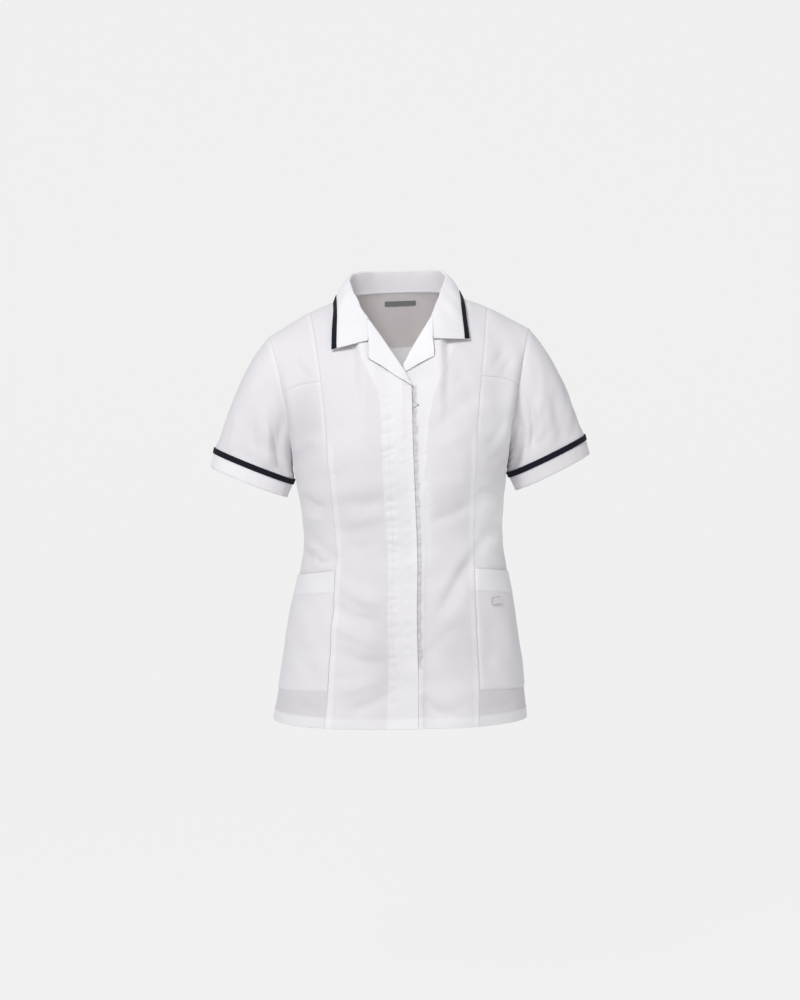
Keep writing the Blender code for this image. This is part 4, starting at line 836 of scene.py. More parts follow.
# Places on the roll line from its foot (0) to the gorge (1), on the wearer's left
def rollLine(share, footX, footZ):
    keys = column(frontTop, topColumns, "across")
    xs, zs = column(frontTop, topColumns, "x"), column(frontTop, topColumns, "z")
    below = footZ < zs[0]
    # Below the V the line runs straight on, to the break
    split = rollBelowV if below else 0.0
    start = 0.0 if below else float(np.interp(footX, xs[:3], keys[:3]))
    on = start + (gorgeAcross - start) * np.clip((share - split) / (1 - split), 0, 1)
    x, z = through(on, keys, xs), through(on, keys, zs)
    if not below:
        return x, z
    down = np.clip(1 - share / split, 0, 1)
    return np.where(down > 0, footX * down, x), np.where(down > 0, zs[0] + (footZ - zs[0]) * down, z)


# Both sides of a turned-back revers: round the roll first, then out over the front. The one
# under the lap lies on the left front, which lies further in.
def reversSides(under, sign):
    share = np.linspace(0, 1, reversRows)
    x, z = rollLine(share, underFootX, 0) if under else rollLine(share, -breakX, breakZ)
    # The outer side runs up from the lower corner to the notch
    farX = revers["cornerX"] + (revers["notchX"] - revers["cornerX"]) * share
    farZ = revers["cornerZ"] + (revers["notchZ"] - revers["cornerZ"]) * share
    roll, normal = reversRoll(x, z, under)
    along = unit(np.gradient(roll, axis=0))
    away = np.stack([farX - x, np.zeros(reversRows), farZ - z], -1)
    for fixed in (normal, along):
        away = away - fixed * np.sum(away * fixed, axis=1, keepdims=True)
    away = unit(away)
    radius = (rollRadius * (rollFoot + (1 - rollFoot) * ease(share / rollFootRun)))[:, None]
    middle = roll + normal * (radius - cloth / 2) - away * rollClear
    roundIt = [normal * math.sin(a) - away * math.cos(a) for a in rollAngles]
    turns = [middle + radius * way for way in roundIt]
    outShare = reversShares[:, None]
    sag = underFootSag * ease(1 - share / 0.5) if under else 0
    flatX = x + (farX - x) * outShare
    flatZ = z + (farZ - z) * outShare - sag * (1 - outShare)
    across, up = place(flatX, flatZ, -1)
    low = reversClear + cloth / 2
    crown = (2 * radius[:, 0] - cloth / 2 - low) * (1 - outShare) ** 1.5
    crown = crown + reversBelly * np.sin(math.pi * outShare) + reversLift * outShare**3 * ease(share / 0.3)
    sink = lapDepth(smoothBody(across, up, -1)) if under else 0
    flat = body(across, up, -1, low + crown - sink)
    grid = np.concatenate([turns, flat]).transpose(1, 0, 2)
    half = np.concatenate([roundIt, smoothNormal(across, up, -1)]).transpose(1, 0, 2) * reversThick / 2
    return mirrored(grid + half, sign), mirrored(grid - half, sign)


# The roll line's points on the front, and the front's normals there
def reversRoll(x, z, under):
    across, up = place(x, z, -1)
    roll, normal = body(across, up, -1), smoothNormal(across, up, -1)
    sink = lapDepth(roll) if under else np.zeros(len(x))
    return roll - normal * sink[:, None], normal


# The collar's fold or outer edge. The points of the collar are sharp corners of its edge.
def collarLine(along, part):
    far = np.abs(along)
    keys = column(collar, collarColumns, "along")
    tip = int(np.argmin(np.abs(keys - collarTip)))
    lines = []
    for axis in "xyz":
        values = column(collar, collarColumns, part + axis.upper())
        if part == "fold":
            lines.append(through(far, keys, values))
            continue
        outer = through(far, keys[: tip + 1], values[: tip + 1])
        front = through(far, keys[tip:], values[tip:])
        lines.append(np.where(far <= collarTip, outer, front))
    points = np.stack(lines, -1)
    points[..., 0] *= np.where(along < 0, -1, 1)
    front = ease((far - collarSkew["from"]) / collarSkew["run"]) * points[..., 0]
    points[..., 1] += front * collarSkew["back"]
    points[..., 2] += front * collarSkew["rise"]
    return points


# The body's own edge round the neck, below the collar's stand, and the fronts' normals there
def neckline(along):
    far, side = np.abs(along), np.sign(along)
    back = body(side * np.clip(far / neckAlong, 0, 1) * neckAcross, 2.0, 1)
    share = np.clip((far - neckAlong) / (1 - neckAlong), 0, 1)
    across = side * (neckAcross + (gorgeAcross - neckAcross) * share)
    points = np.where((far <= neckAlong)[:, None], back, body(across, 2.0, -1))
    return points + (0, 0, collarLift), smoothNormal(across, 2.0, -1)


# Middle of the collar: columns go round the neck, rows up the stand, over the roll and down the fall.
# rowAt numbers the rows: 0 to 2 the stand, 3 to 6 the roll, 6 to 12 the fall.
def collarGrid():
    half = np.concatenate([np.linspace(0, collarTip, 58), np.linspace(collarTip, 1, 17)[1:]])
    alongs = np.concatenate([-half[:0:-1], half])
    (base, normal), fold, edge = neckline(alongs), collarLine(alongs, "fold"), collarLine(alongs, "edge")
    turned = ease((np.abs(alongs) - gorgeTurnFrom) / (gorgeTurnTo - gorgeTurnFrom))[:, None]
    rise, fall = unit(unit(fold - base) * (1 - turned) + normal * turned), edge - fold
    side = unit(fall - rise * np.sum(fall * rise, axis=1, keepdims=True))
    centre = fold + side * collarRoll
    rowAt, rows = [], []
    for at in np.linspace(0, 2, 9):
        rowAt.append(at)
        rows.append(base + (fold - base) * np.interp(at, (0, 1, 2), standShares))
    for at in np.linspace(3, 6, 13):
        angle = (at - 3) * math.pi / 4
        rowAt.append(at)
        rows.append(centre - side * collarRoll * math.cos(angle) + rise * collarRoll * math.sin(angle))
    start = rows[-1]
    length = np.linalg.norm(edge - start, axis=1, keepdims=True)
    proud = unit(np.cross(np.gradient(fold, axis=0), fall))
    margin = collarTape["margin"] / length
    # The tape's width is measured square to the collar's edge
    before, after = edge - np.roll(edge, 1, axis=0), np.roll(edge, -1, axis=0) - edge
    toBack = np.where((alongs > 0)[:, None], before, after)
    square = np.linalg.norm(np.cross(unit(toBack), unit(fall)), axis=1)
    tips = [int(np.argmin(np.abs(alongs - tip))) for tip in (-collarTip, collarTip)]
    square = np.where(alongs < -collarTip, square[tips[0]], square)
    square = np.where(alongs > collarTip, square[tips[1]], square)
    innerMargin = margin + collarTape["width"] / np.maximum(square, 0.55)[:, None] / length
    marks = [0 * length] + [share * (1 - innerMargin) for share in fallShares]
    marks += [1 - innerMargin, 1 - margin, np.ones_like(length)]
    for at in np.concatenate([np.linspace(6, 10, 17)[1:], np.linspace(10, 11, 6)[1:], (11.5, 12)]):
        mark = min(int(at - 6), 5)
        share = marks[mark] + (marks[mark + 1] - marks[mark]) * (at - 6 - mark)
        rowAt.append(at)
        rows.append(collarFall(start, edge, proud, share))
    rowAt = np.array(rowAt)
    return alongs, joinGorge(np.array(rows), alongs, rowAt), rowAt


def collarFall(start, edge, proud, share):
    length = np.linalg.norm(edge - start, axis=1, keepdims=True)
    belly = collarBelly * np.clip(length / collarBellyFull, 0, 1)
    return start + (edge - start) * share + proud * belly * np.sin(math.pi * share)


# Lengths along rows (axis 1) or columns (axis 0) of points, from the first
def lengthsAlong(points, axis=0):
    steps = np.linalg.norm(np.diff(points, axis=axis), axis=-1)
    return np.insert(np.cumsum(steps, axis=axis), 0, 0, axis=axis)


# Places along a line of points, whose own lengths are keys
def alongLine(at, keys, points):
    return np.stack([np.interp(at, keys, points[:, k]) for k in range(3)], -1)


# Where the collar's ends lie: just past the ends of the revers, with an outer and an inner side
def gorgeLines(rowAt):
    places = np.interp(rowAt, range(len(gorgePlaces)), gorgePlaces)
    for end, sign, under in ((-1, 1, True), (0, -1, False)):
        sides = reversSides(under, sign)
        middle = (sides[0] + sides[1]) / 2
        past = unit(np.cross(np.gradient(middle[-1], axis=0), sides[0][-1] - sides[1][-1]))
        past *= np.sign(np.sum(past * (middle[-1] - middle[-2]))) * gorgeGap
        steps = lengthsAlong(middle[-1])
        yield end, sign, *(alongLine(places, steps / steps[-1], part[-1] + past) for part in sides)


# Moves the collar's two front ends onto the ends of the revers, and what is near them less
def joinGorge(grid, alongs, rowAt):
    grid = grid.copy()
    for end, sign, outer, inner in gorgeLines(rowAt):
        weight = ease((alongs * sign - gorgeJoinFrom) / (1 - gorgeJoinFrom))[None, :, None]
        grid = grid + ((outer + inner) / 2 - grid[:, end])[:, None] * weight
    return grid


closeOffs = (-0.0018, -0.0009, -0.0004, 0, 0.0004, 0.0009, 0.0018)
closeClear = 0.0026


# Shares of a length: evenly spaced, with a few close together beside each mark
def spaced(length, step, marks=()):
    even = np.linspace(0, length, max(2, int(round(length / step)) + 1))
    far = [at for at in even if all(abs(at - mark) > closeClear for mark in marks)]
    close = [mark + off for mark in marks for off in closeOffs]
    every = np.clip(np.round([0, length, *far, *close], 6), 0, length)
    return np.unique(every) / length


# The same, with both its ends marked
def spacedOut(length, step):
    return spaced(length, step, (0, length))


def repeated(values, rows):
    return np.repeat(values[None], rows, axis=0)


# Width, length and area of a grid of points, as the cloth would lie flat
def cutOf(grid, roundIt=False):
    if roundIt:
        grid = np.concatenate([grid, grid[:, :1]], axis=1)
    width = np.linalg.norm(np.diff(grid, axis=1), axis=-1).sum(axis=1).max()
    length = np.linalg.norm(np.diff(grid, axis=0), axis=-1).sum(axis=0).max()
    corners = grid[:-1, :-1], grid[:-1, 1:], grid[1:, 1:], grid[1:, :-1]
    area = np.linalg.norm(np.cross(corners[2] - corners[0], corners[3] - corners[1]), axis=-1).sum() / 2
    return float(width), float(length), float(area)


# A thin closed shell of cloth between two grids, with rounded rims, a UV map in metres and two
# values for its material: how many layers lie there plus painted light and shade, and how near a seam is plus
# painted shade
def shell(name, outer, inner, layersAndLight, seam, roundIt=False, paintedInside=(0, 0)):
    if outerFacesIn(outer, inner):
        outer, inner, layersAndLight, seam = (part[:, ::-1] for part in (outer, inner, layersAndLight, seam))
    rows, columns = outer.shape[:2]
    middle = (outer + inner) / 2
    thick = np.linalg.norm(outer - inner, axis=-1, keepdims=True)
    index = np.arange(rows * columns).reshape(rows, columns)
    places = np.concatenate([index, index[:, :1]], axis=1) if roundIt else index
    wide = places.shape[1]
    # UV places, in metres along the cloth
    closed = np.concatenate([outer, outer[:, :1]], axis=1) if roundIt else outer
    across, along = lengthsAlong(closed, 1), lengthsAlong(closed, 0)
    uv = np.stack([across - across[:, wide // 2][:, None], along], -1).reshape(-1, 2)
    corner = np.arange(rows * wide).reshape(rows, wide)
    quads = np.stack([corner[:-1, :-1], corner[:-1, 1:], corner[1:, 1:], corner[1:, :-1]], -1).reshape(-1, 4)
    toPoint = places.reshape(-1)
    far = rows * columns
    faces = [toPoint[quads], toPoint[quads[:, ::-1]] + far]
    uvs = [uv[quads], uv[quads[:, ::-1]]]
    points = [outer.reshape(-1, 3), inner.reshape(-1, 3)]
    count = 2 * far
    # The inner side may be painted whiter or more shaded than the outer: painted light and shade
    values = [layersAndLight.reshape(-1), layersAndLight.reshape(-1) + paintedInside[0]]
    paintedShade = [seam.reshape(-1), seam.reshape(-1) + paintedInside[1]]
    # Rims: a rounded strip round every open edge
    if roundIt:
        loops = [(corner[0, ::-1], 0, 1), (corner[-1], -1, -2)]
    else:
        rim = np.concatenate([corner[0, ::-1], corner[1:, 0], corner[-1, 1:], corner[-2:0:-1, -1]])
        loops = [(np.append(rim, rim[0]), None, None)]
    for loop, edge, inside in loops:
        at = toPoint[loop]
        unique = at[:-1]
        r, c = unique // columns, unique % columns
        if roundIt:
            away = outer[edge][c] - outer[inside][c]
        else:
            inR, inC = np.clip(r, 1, rows - 2), np.clip(c, 1, columns - 2)
            away = outer[r, c] - outer[inR, inC]
        bulge = middle[r, c] + unit(away) * thick[r, c] * 0.5
        ids = count + np.arange(len(unique))
        ids = np.append(ids, ids[0])
        points.append(bulge)
        values.append(layersAndLight[r, c])
        paintedShade.append(seam[r, c])
        count += len(unique)
        strip = np.stack([at[:-1], at[1:], ids[1:], ids[:-1]], 1)
        under = np.stack([ids[:-1], ids[1:], at[1:] + far, at[:-1] + far], 1)
        faces += [strip[:, ::-1], under[:, ::-1]]
        edgeUv = np.stack([uv[loop[:-1]], uv[loop[1:]], uv[loop[1:]], uv[loop[:-1]]], 1)
        uvs += [edgeUv[:, ::-1], edgeUv[:, ::-1]]
    mesh = bpy.data.meshes.new(f"{name}_cloth")
    mesh.from_pydata(lean(np.concatenate(points)).tolist(), [], np.concatenate(faces).tolist())
    layer = mesh.uv_layers.new(name="cloth")
    layer.uv.foreach_set("vector", np.concatenate(uvs).reshape(-1).astype(np.float32))
    for label, value in (("layersAndLight", values), ("seam", paintedShade)):
        made = mesh.attributes.new(label, "FLOAT", "POINT")
        made.data.foreach_set("value", np.concatenate(value).astype(np.float32))
    mesh.shade_smooth()
    return addObject(f"{name}_cloth", mesh)


# Dresses a piece: its material, the body it rides on and the solids it stands for
def dress(piece, material, slot, *nodes):
    piece.data.materials.append(material)
    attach(piece, "root")
    if nodes:
        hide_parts(*nodes)
    return piece


# The least that the tool takes as a flat size, and the most of it that the area may fill
leastFlat, mostFilled = 0.01, 0.99


# States the piece's cut: its width, length and area when it lies flat
def declare(piece, cut, restsOn):
    width, length, area = max(cut[0], leastFlat), max(cut[1], leastFlat), cut[2]
    filled = min(area, mostFilled * width * length)
    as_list(restsOn)
    print(f"  {piece.name}: {width:.3f} x {length:.3f} m, {area:.4f} m2")


class Wire:
    # one output socket; sums and products of wires and numbers make Math nodes
    def __init__(self, bench, socket):
        self.bench, self.socket = bench, socket

    def combine(self, operation, a, b):
        return self.bench.node("ShaderNodeMath", {"operation": operation}, {0: a, 1: b})[0]

    def __add__(self, other):
        return self.combine("ADD", self, other)

    def __sub__(self, other):
        return self.combine("SUBTRACT", self, other)

    def __rsub__(self, other):
        return self.combine("SUBTRACT", other, self)

    def __mul__(self, other):
        return self.combine("MULTIPLY", self, other)

    def __pow__(self, other):
        return self.combine("POWER", self, other)

    __radd__, __rmul__ = __add__, __mul__


class Bench:
    # one material and its nodes
    def __init__(self, name):
        self.material = bpy.data.materials.new(name)
        self.material.use_nodes = True
        self.tree = self.material.node_tree
        self.tree.nodes.clear()

    def node(self, kind, settings=None, sockets=None):
        made = self.tree.nodes.new(kind)
        for key, value in (settings or {}).items():
            setattr(made, key, value)
        for key, value in (sockets or {}).items():
            if isinstance(value, Wire):
                self.tree.links.new(value.socket, made.inputs[key])
            else:
                made.inputs[key].default_value = value
        return [Wire(self, out) for out in made.outputs]

    def sine(self, value):
        return self.node("ShaderNodeMath", {"operation": "SINE"}, {0: value})[0]

    def blend(self, factor, a, b):
        mixed = self.node("ShaderNodeMix", {"data_type": "RGBA"}, {0: factor, 6: a, 7: b})
        return mixed[2]

    def noise(self, at, scale, detail=2.0):
        return self.node("ShaderNodeTexNoise", {}, {"Vector": at, "Scale": scale, "Detail": detail})[0]

    # coordinates along the cloth, in metres
    def places(self):
        at = self.node("ShaderNodeUVMap", {"uv_map": "cloth"})[0]
        u, v, _ = self.node("ShaderNodeSeparateXYZ", {}, {0: at})
        return u, v

    def value(self, name):
        return self.node("ShaderNodeAttribute", {"attribute_name": name})[2]

    def point(self, x, y, z=0.0):
        return self.node("ShaderNodeCombineXYZ", {}, {0: x, 1: y, 2: z})[0]

    # bump height in metres
    def bump(self, height, strength):
        return self.node("ShaderNodeBump", {}, {"Strength": strength, "Distance": 1.0, "Height": height})[0]

    def finish(self, sockets):
        out = self.node("ShaderNodeBsdfPrincipled", {}, sockets)[0]
        self.node("ShaderNodeOutputMaterial", {}, {"Surface": out})
        return self.material


polyCotton = {
    "thin": (0.632, 0.604, 0.636, 1),      # one layer
    "thick": (0.93, 0.925, 0.95, 1),       # several layers, as at the collar
    "shadow": (0.46, 0.40, 0.365, 1),      # in the seams and inside the yoke
    "seamShade": 0.10,
    "yarn": 0.00042,                       # metres from yarn to yarn
    "weaveHeight": 0.000025,
    "slubHeight": 0.00006,
    "slubs": ((1500, 90, 0.0), (80, 1500, 7.0)),
    "slubWhite": 0.07,
    "clouds": 24.0,
    "cloudWhite": 0.08,
    "roughness": 0.82,
    "slubRough": 0.08,
    "bump": 0.35,
    "sheen": 0.12,
    "specular": 0.25,
}


def weave(bench, u, v, yarn):
    turn = 2 * math.pi / yarn
    return bench.sine(u * turn) * bench.sine(v * turn)


def makePolyCotton():
    look, bench = polyCotton, Bench("white poly-cotton")
    u, v = bench.places()
    yarns = weave(bench, u, v, look["yarn"])
    # slubs: thicker yarns here and there, along both ways of the weave
    both = [bench.noise(bench.point(u * wide, v * long, shift), 1.0) for wide, long, shift in look["slubs"]]
    slub = both[0] + both[1]
    cloudy = bench.noise(bench.point(u, v, 3.0), look["clouds"], 3.0)
    # The layers value holds painted light and shade as well as the cloth's layers; the seam value is painted
    # shade
    layersAndLight, seam = bench.value("layersAndLight"), bench.value("seam")
    whiter = layersAndLight + (slub - 1.0) * look["slubWhite"] + (cloudy - 0.5) * look["cloudWhite"]
    base = bench.blend(whiter, look["thin"], look["thick"])
    # Painted shade: the seam value darkens the cloth towards the shadow colour in the seams and inside the
    # yoke
    base = bench.blend(seam * look["seamShade"], base, look["shadow"])
    height = yarns * look["weaveHeight"] + slub * look["slubHeight"]
    return bench.finish({
        "Base Color": base,
        "Roughness": (slub - 1.0) * look["slubRough"] + look["roughness"],
        "Normal": bench.bump(height, look["bump"]),
        "Sheen Weight": look["sheen"],
        "Specular IOR Level": look["specular"],
    })


navy = {
    "base": (0.0050, 0.0052, 0.0125, 1), "worn": (0.0125, 0.0130, 0.0250, 1), "wornShare": 0.8,
    "rib": 0.0011, "ribHeight": 0.00012, "fluff": 900, "fluffHeight": 0.00006, "roughness": 0.75,
    "bump": 0.5, "sheen": 0.04, "specular": 0.15,
}


def makeNavyTape():
    look, bench = navy, Bench("navy woven tape")
    u, v = bench.places()
    ribs = bench.sine(u * (2 * math.pi / look["rib"]))
    fluff = bench.noise(bench.point(u * look["fluff"], v * look["fluff"]), 1.0, 3.0)
    base = bench.blend(fluff * look["wornShare"], look["base"], look["worn"])
    return bench.finish({
        "Base Color": base,
        "Roughness": look["roughness"],
        "Normal": bench.bump(ribs * look["ribHeight"] + fluff * look["fluffHeight"], look["bump"]),
        "Sheen Weight": look["sheen"],
        "Specular IOR Level": look["specular"],
    })


labelLook = {
    "across": 0.019, "wider": 1.10, "drop": 0.27, "tall": 0.62, "tone": 0.3, "thick": 0.6,
    "ground": (0.17, 0.17, 0.175, 1), "thread": (0.24, 0.24, 0.245, 1), "line": 0.0006,
    "lineHeight": 0.00006, "fluffHeight": 0.00005, "roughness": 0.6, "bump": 0.5, "specular": 0.4,
}


def makeLabelCloth():
    look, bench = labelLook, Bench("grey woven label")
    u, v = bench.places()
    lines = bench.sine(v * (2 * math.pi / look["line"])) * 0.5 + 0.5
    fluff = bench.noise(bench.point(u * 500, v * 1200), 1.0)
    base = bench.blend(lines * 0.5 + fluff * 0.4, look["ground"], look["thread"])
    return bench.finish({
        "Base Color": base,
        "Roughness": look["roughness"],
        "Normal": bench.bump(lines * look["lineHeight"] + fluff * look["fluffHeight"], look["bump"]),
        "Specular IOR Level": look["specular"],
    })


zipCloth = {
    "base": (0.78, 0.78, 0.80, 1), "dark": (0.62, 0.62, 0.65, 1), "rib": 0.0009, "column": 0.002,
    "ribHeight": 0.0001, "roughness": 0.7, "bump": 0.5, "specular": 0.3,
}


def makeZipCloth():
    look, bench = zipCloth, Bench("white zip tape")
    u, v = bench.places()
    # herringbone: slanted ribs that turn over at each column
    zag = bench.node("ShaderNodeMath", {"operation": "PINGPONG"}, {0: u, 1: look["column"]})[0]
    ribs = bench.sine((v + zag) * (2 * math.pi / look["rib"])) * 0.5 + 0.5
    base = bench.blend(ribs, look["dark"], look["base"])
    return bench.finish({
        "Base Color": base,
        "Roughness": look["roughness"],
        "Normal": bench.bump(ribs * look["ribHeight"], look["bump"]),
        "Specular IOR Level": look["specular"],
    })


white, tapeNavy, grey, zipWhite = makePolyCotton(), makeNavyTape(), makeLabelCloth(), makeZipCloth()
print("materials made")

# Metres from row to row and from column to column, and the shells' thickness
panelStep = {
    "row": 0.0030, "column": 0.0029, "frontColumn": 0.0026, "lapColumn": 0.0022,
    "labelRow": 0.001, "labelColumn": 0.0012, "yokeRow": 0.0025, "thick": 0.0009,
}

# Rough widths and lengths of the panels in metres, which set how many columns and rows they have
panelRun = {
    "lap": 0.02, "front": 0.118, "side": 0.093, "chestLower": 0.11, "chestUpper": 0.10,
    "backCentre": 0.205, "backSide": 0.125, "backChest": 0.185, "yokeWide": 0.44, "yokeTall": 0.09,
    "labelWide": 0.05, "labelTall": 0.012, "pocketTall": 0.190, "sleeve": 0.20,
}
hemStep = 0.0012


# A body panel: its shell on the form with its layers, painted light and shade and seams, dressed and declared
def panel(name, across, up, face, layersAndLight, restsOn, out=0.0, thick=panelStep["thick"], paintedInside=(0, 0),
          material=white, slot="white_cloth"):
    across, up = np.broadcast_arrays(np.asarray(across, float), np.asarray(up, float))
    outer, inner = body(across, up, face, out), body(across, up, face, np.asarray(out) - thick)
    seam = seamNearness(across, up, face)
    layersAndLight = np.broadcast_to(layersAndLight, across.shape)
    piece = shell(name, outer, inner, layersAndLight, seam, paintedInside=paintedInside)
    dress(piece, material, slot, name)
    declare(piece, cutOf(smoothBody(across, up, face)), restsOn)


# Rows of the body from the hem to the underarm, then on up the chest to a seam
def upTo(seam, chestRun):
    low = spaced(bodyHeight, panelStep["row"], (0, hemBand))
    chest = 1 + spaced(chestRun, panelStep["row"], (chestRun,))[1:, None] * (seam - 1)
    return np.concatenate([np.repeat(low[:, None], len(seam), axis=1), chest])


def hemRise(up):
    z = np.asarray(up) * bodyHeight
    return hemThick * (1 - ease((z - hemBand) / hemStep + 0.5))


# Whiteness where the hem, the seam allowances and the facings lie behind one layer, and painted shade on the
# side fronts, below the pockets and beside the lap's edge
layerAndLightLook = {
    "single": 0.56, "side": -0.02, "below": -0.24, "hem": 0.20, "allowance": 0.17, "chestSeam": 0.10,
    "facing": 0.22, "pocket": 0.03, "bandRight": 0.14, "bandLeft": 0.25, "lapEdgeShade": -0.88, "sleeveEnd": 0.7,
    "sideFrom": -0.20, "sideFade": 0.10,
}

# The seam allowances: how wide, how soft at their edge, from where, and how strong
allowance = {
    "span": 0.235, "edge": 0.0004, "fade": 0.03,
    "centreWide": 0.0075, "centreSoft": 0.0028, "centreBelow": -0.18,
    "upperWide": 0.0050, "upperSoft": 0.0020, "upperAbove": -0.21, "upperShare": 0.8,
    "sideWide": 0.0080, "sideSoft": 0.0012, "sideShare": 0.5, "chestWide": 0.0022,
}
bandEdge, pocketEdge, facingEdge = 0.0015, 0.004, 0.0016
facingRight = ((-0.66, -0.0245), (-0.45, -0.0268), (-0.29, -0.0313), (-0.163, -0.0324), (-0.118, -0.0373),
               (-0.083, -0.0544), (-0.0475, -0.0709), (0.02, -0.105))
facingLeft = ((-0.66, 0.0320), (-0.546, 0.0315), (-0.2915, 0.0313), (-0.165, 0.0420), (-0.115, 0.0543),
              (-0.081, 0.0714), (-0.0435, 0.0905), (0.02, 0.120))


# Patches of painted light (+) and painted shade (-) on the front:
# x, z, half width and height, and how much whiter or less white the cloth is painted there
paintedLightPatches = (
    (-0.158, -0.165, 0.032, 0.055, -0.36), (0.163, -0.185, 0.028, 0.050, 0.30),
    (0.148, -0.335, 0.026, 0.050, 0.60), (0.082, -0.520, 0.030, 0.050, -0.26),
    (-0.125, -0.345, 0.020, 0.030, 0.06),
    (0.029, -0.322, 0.017, 0.088, 0.40), (-0.032, -0.545, 0.032, 0.080, -0.28),
    (0.122, -0.345, 0.014, 0.095, 0.32),
)


def pocketZ(edge, share):
    return pocket[edge + "PrincessZ"] + (pocket[edge + "SideZ"] - pocket[edge + "PrincessZ"]) * share


def bodyLayersAndLight(across, up, face, flat):
    x, z = flat[..., 0], flat[..., 2]
    look = allowance
    far = np.abs(across)
    aboveHem = ease((z - hemZ - hemBand) / bandEdge + 0.5)
    found = layerAndLightLook["single"] + layerAndLightLook["hem"] * (1 - aboveHem)
    # Seam allowances, pressed to the centre below and to the side above
    near = (seamAcross - far) * look["span"]
    toCentre = ease(near / look["edge"]) * (1 - ease((near - look["centreWide"]) / look["centreSoft"]))
    toCentre = toCentre * ease((look["centreBelow"] - z) / look["fade"])
    isSide = ease(-near / look["edge"])
    toSide = isSide * (1 - ease((-near - look["upperWide"]) / look["upperSoft"]))
    toSide = toSide * ease((z - look["upperAbove"]) / look["fade"]) * look["upperShare"]
    side = (1 - far) * sideSpan
    toSeam = (1 - ease((side - look["sideWide"]) / look["sideSoft"])) * look["sideShare"]
    found += layerAndLightLook["allowance"] * np.maximum(np.maximum(toCentre, toSide), toSeam)
    if face < 0:
        # Painted shade: the side fronts a little darker from about the underarm down
        found += layerAndLightLook["side"] * isSide * ease((layerAndLightLook["sideFrom"] - z) / layerAndLightLook["sideFade"])
        # Painted shade on the side fronts below the pockets
        shadeUnderPocket = ease((pocketZ("foot", sideShare(across)) - z) / pocketEdge + 0.5)
        found += layerAndLightLook["below"] * isSide * shadeUnderPocket * aboveHem
        aboveSeam = (z - chestSeamZ(across) + look["chestWide"]) / look["chestWide"]
        found += layerAndLightLook["chestSeam"] * isSide * np.exp(-(aboveSeam**2))
        # Painted light and painted shade in soft patches
        for atX, atZ, wide, tall, change in paintedLightPatches:
            found += change * np.exp(-(((x - atX) / wide) ** 2) - ((z - atZ) / tall) ** 2)
    return found


lapShadeLook = {
    "wide": 0.0080, "waver": 0.0010, "turn": 210, "shift": 1.3, "soft": 0.0016, "beads": 0.20,
    "above": 0.004, "lowZ": -0.562, "fade": 0.006,
}


# Painted shade on the thin strip beside the lap's edge, where the cloth is drawn in between the zip's
# stitches
def shadeBesideLap(flat):
    x, z = flat[..., 0], flat[..., 2]
    off, look = x - edgeX(z), lapShadeLook
    beads = 1 - look["beads"] + look["beads"] * beadsAt(z, zipBeads)
    wide = look["wide"] + look["waver"] * np.sin(z * look["turn"] + look["shift"])
    length = ease((breakZ + look["above"] - z) / look["fade"]) * ease((z - look["lowZ"]) / look["fade"])
    return beads * ease((wide - off) / look["soft"]) * length


def facingLayers(x, z, sign):
    line = facingRight if sign < 0 else facingLeft
    edge = np.interp(z, [row[0] for row in line], [row[1] for row in line])
    inside = (x - edge) if sign < 0 else (edge - x)
    return layerAndLightLook["facing"] * ease(inside / facingEdge + 0.5)


# A front's grid from its edge to the princess seam. The lap lies at negative across.
def frontGrid():
    low = spaced(bodyHeight, panelStep["row"], (0, hemBand))
    high = spaced(chestHeight, panelStep["row"])[1:]
    z = hemZ + low * bodyHeight
    lap = -place(edgeX(z), z, -1)[0]
    over, rise = [], []
    for part in 1 - spaced(panelRun["lap"], panelStep["lapColumn"], (0,))[:-1]:
        topX = breakX * part
        topOver, topUp = place(topX, rollZ(topX), -1)
        start = lap[-1] * part
        over.append(np.concatenate([lap * part, start - (float(topOver) + start) * high]))
        rise.append(np.concatenate([low, 1 + high * (float(topUp) - 1)]))
    for share in spaced(panelRun["front"], panelStep["frontColumn"], (panelRun["front"],)) * seamAcross:
        rise.append(np.concatenate([low, 1 + high]))
        over.append(np.full(len(rise[-1]), share))
    return np.array(over).T, np.array(rise).T


def makeFronts():
    across, up = frontGrid()
    for name, sign in (("right", -1), ("left", 1)):
        over = across * sign
        flat = smoothBody(over, up, -1)
        out = hemRise(up) + (lapRise(flat) if sign < 0 else lapClose(flat) - lapDepth(flat))
        layersAndLight = bodyLayersAndLight(over, up, -1, flat) + facingLayers(flat[..., 0], flat[..., 2], sign)
        # Painted shade beside the lap's edge on the left front
        if sign > 0:
            layersAndLight += layerAndLightLook["lapEdgeShade"] * shadeBesideLap(flat)
        panel(f"front_{name}", over, up, -1, layersAndLight, ["back_yoke"], out=out)


def makeSideFronts():
    across = seamAcross + (1 - seamAcross) * spacedOut(panelRun["side"], panelStep["column"])
    seam = chestSeamUp(across)
    lower = upTo(seam, panelRun["chestLower"])
    upper = seam + spacedOut(panelRun["chestUpper"], panelStep["row"])[:, None] * (2 - seam)
    for name, sign in (("left", 1), ("right", -1)):
        for part, up in (("lower", lower), ("upper", upper)):
            over = repeated(sign * across, len(up))
            layersAndLight = bodyLayersAndLight(over, up, -1, smoothBody(over, up, -1))
            out = hemRise(up) if part == "lower" else 0.0
            panel(f"side_front_{part}_{name}", over, up, -1, layersAndLight, ["back_yoke"], out=out)
        makePocket(name, sign, across)


pocketLook = {"belly": 0.0012, "gape": 0.0010, "sewn": 0.0005, "sewnRun": 0.0035, "bandSoft": 0.006}


# How far a pocket's cloth stands off, from its foot (0) to its mouth (1)
def pocketSwell(share, t):
    return np.sin(math.pi * share) * (pocketLook["belly"] * np.sin(math.pi * t) + pocketLook["gape"] * t**6)


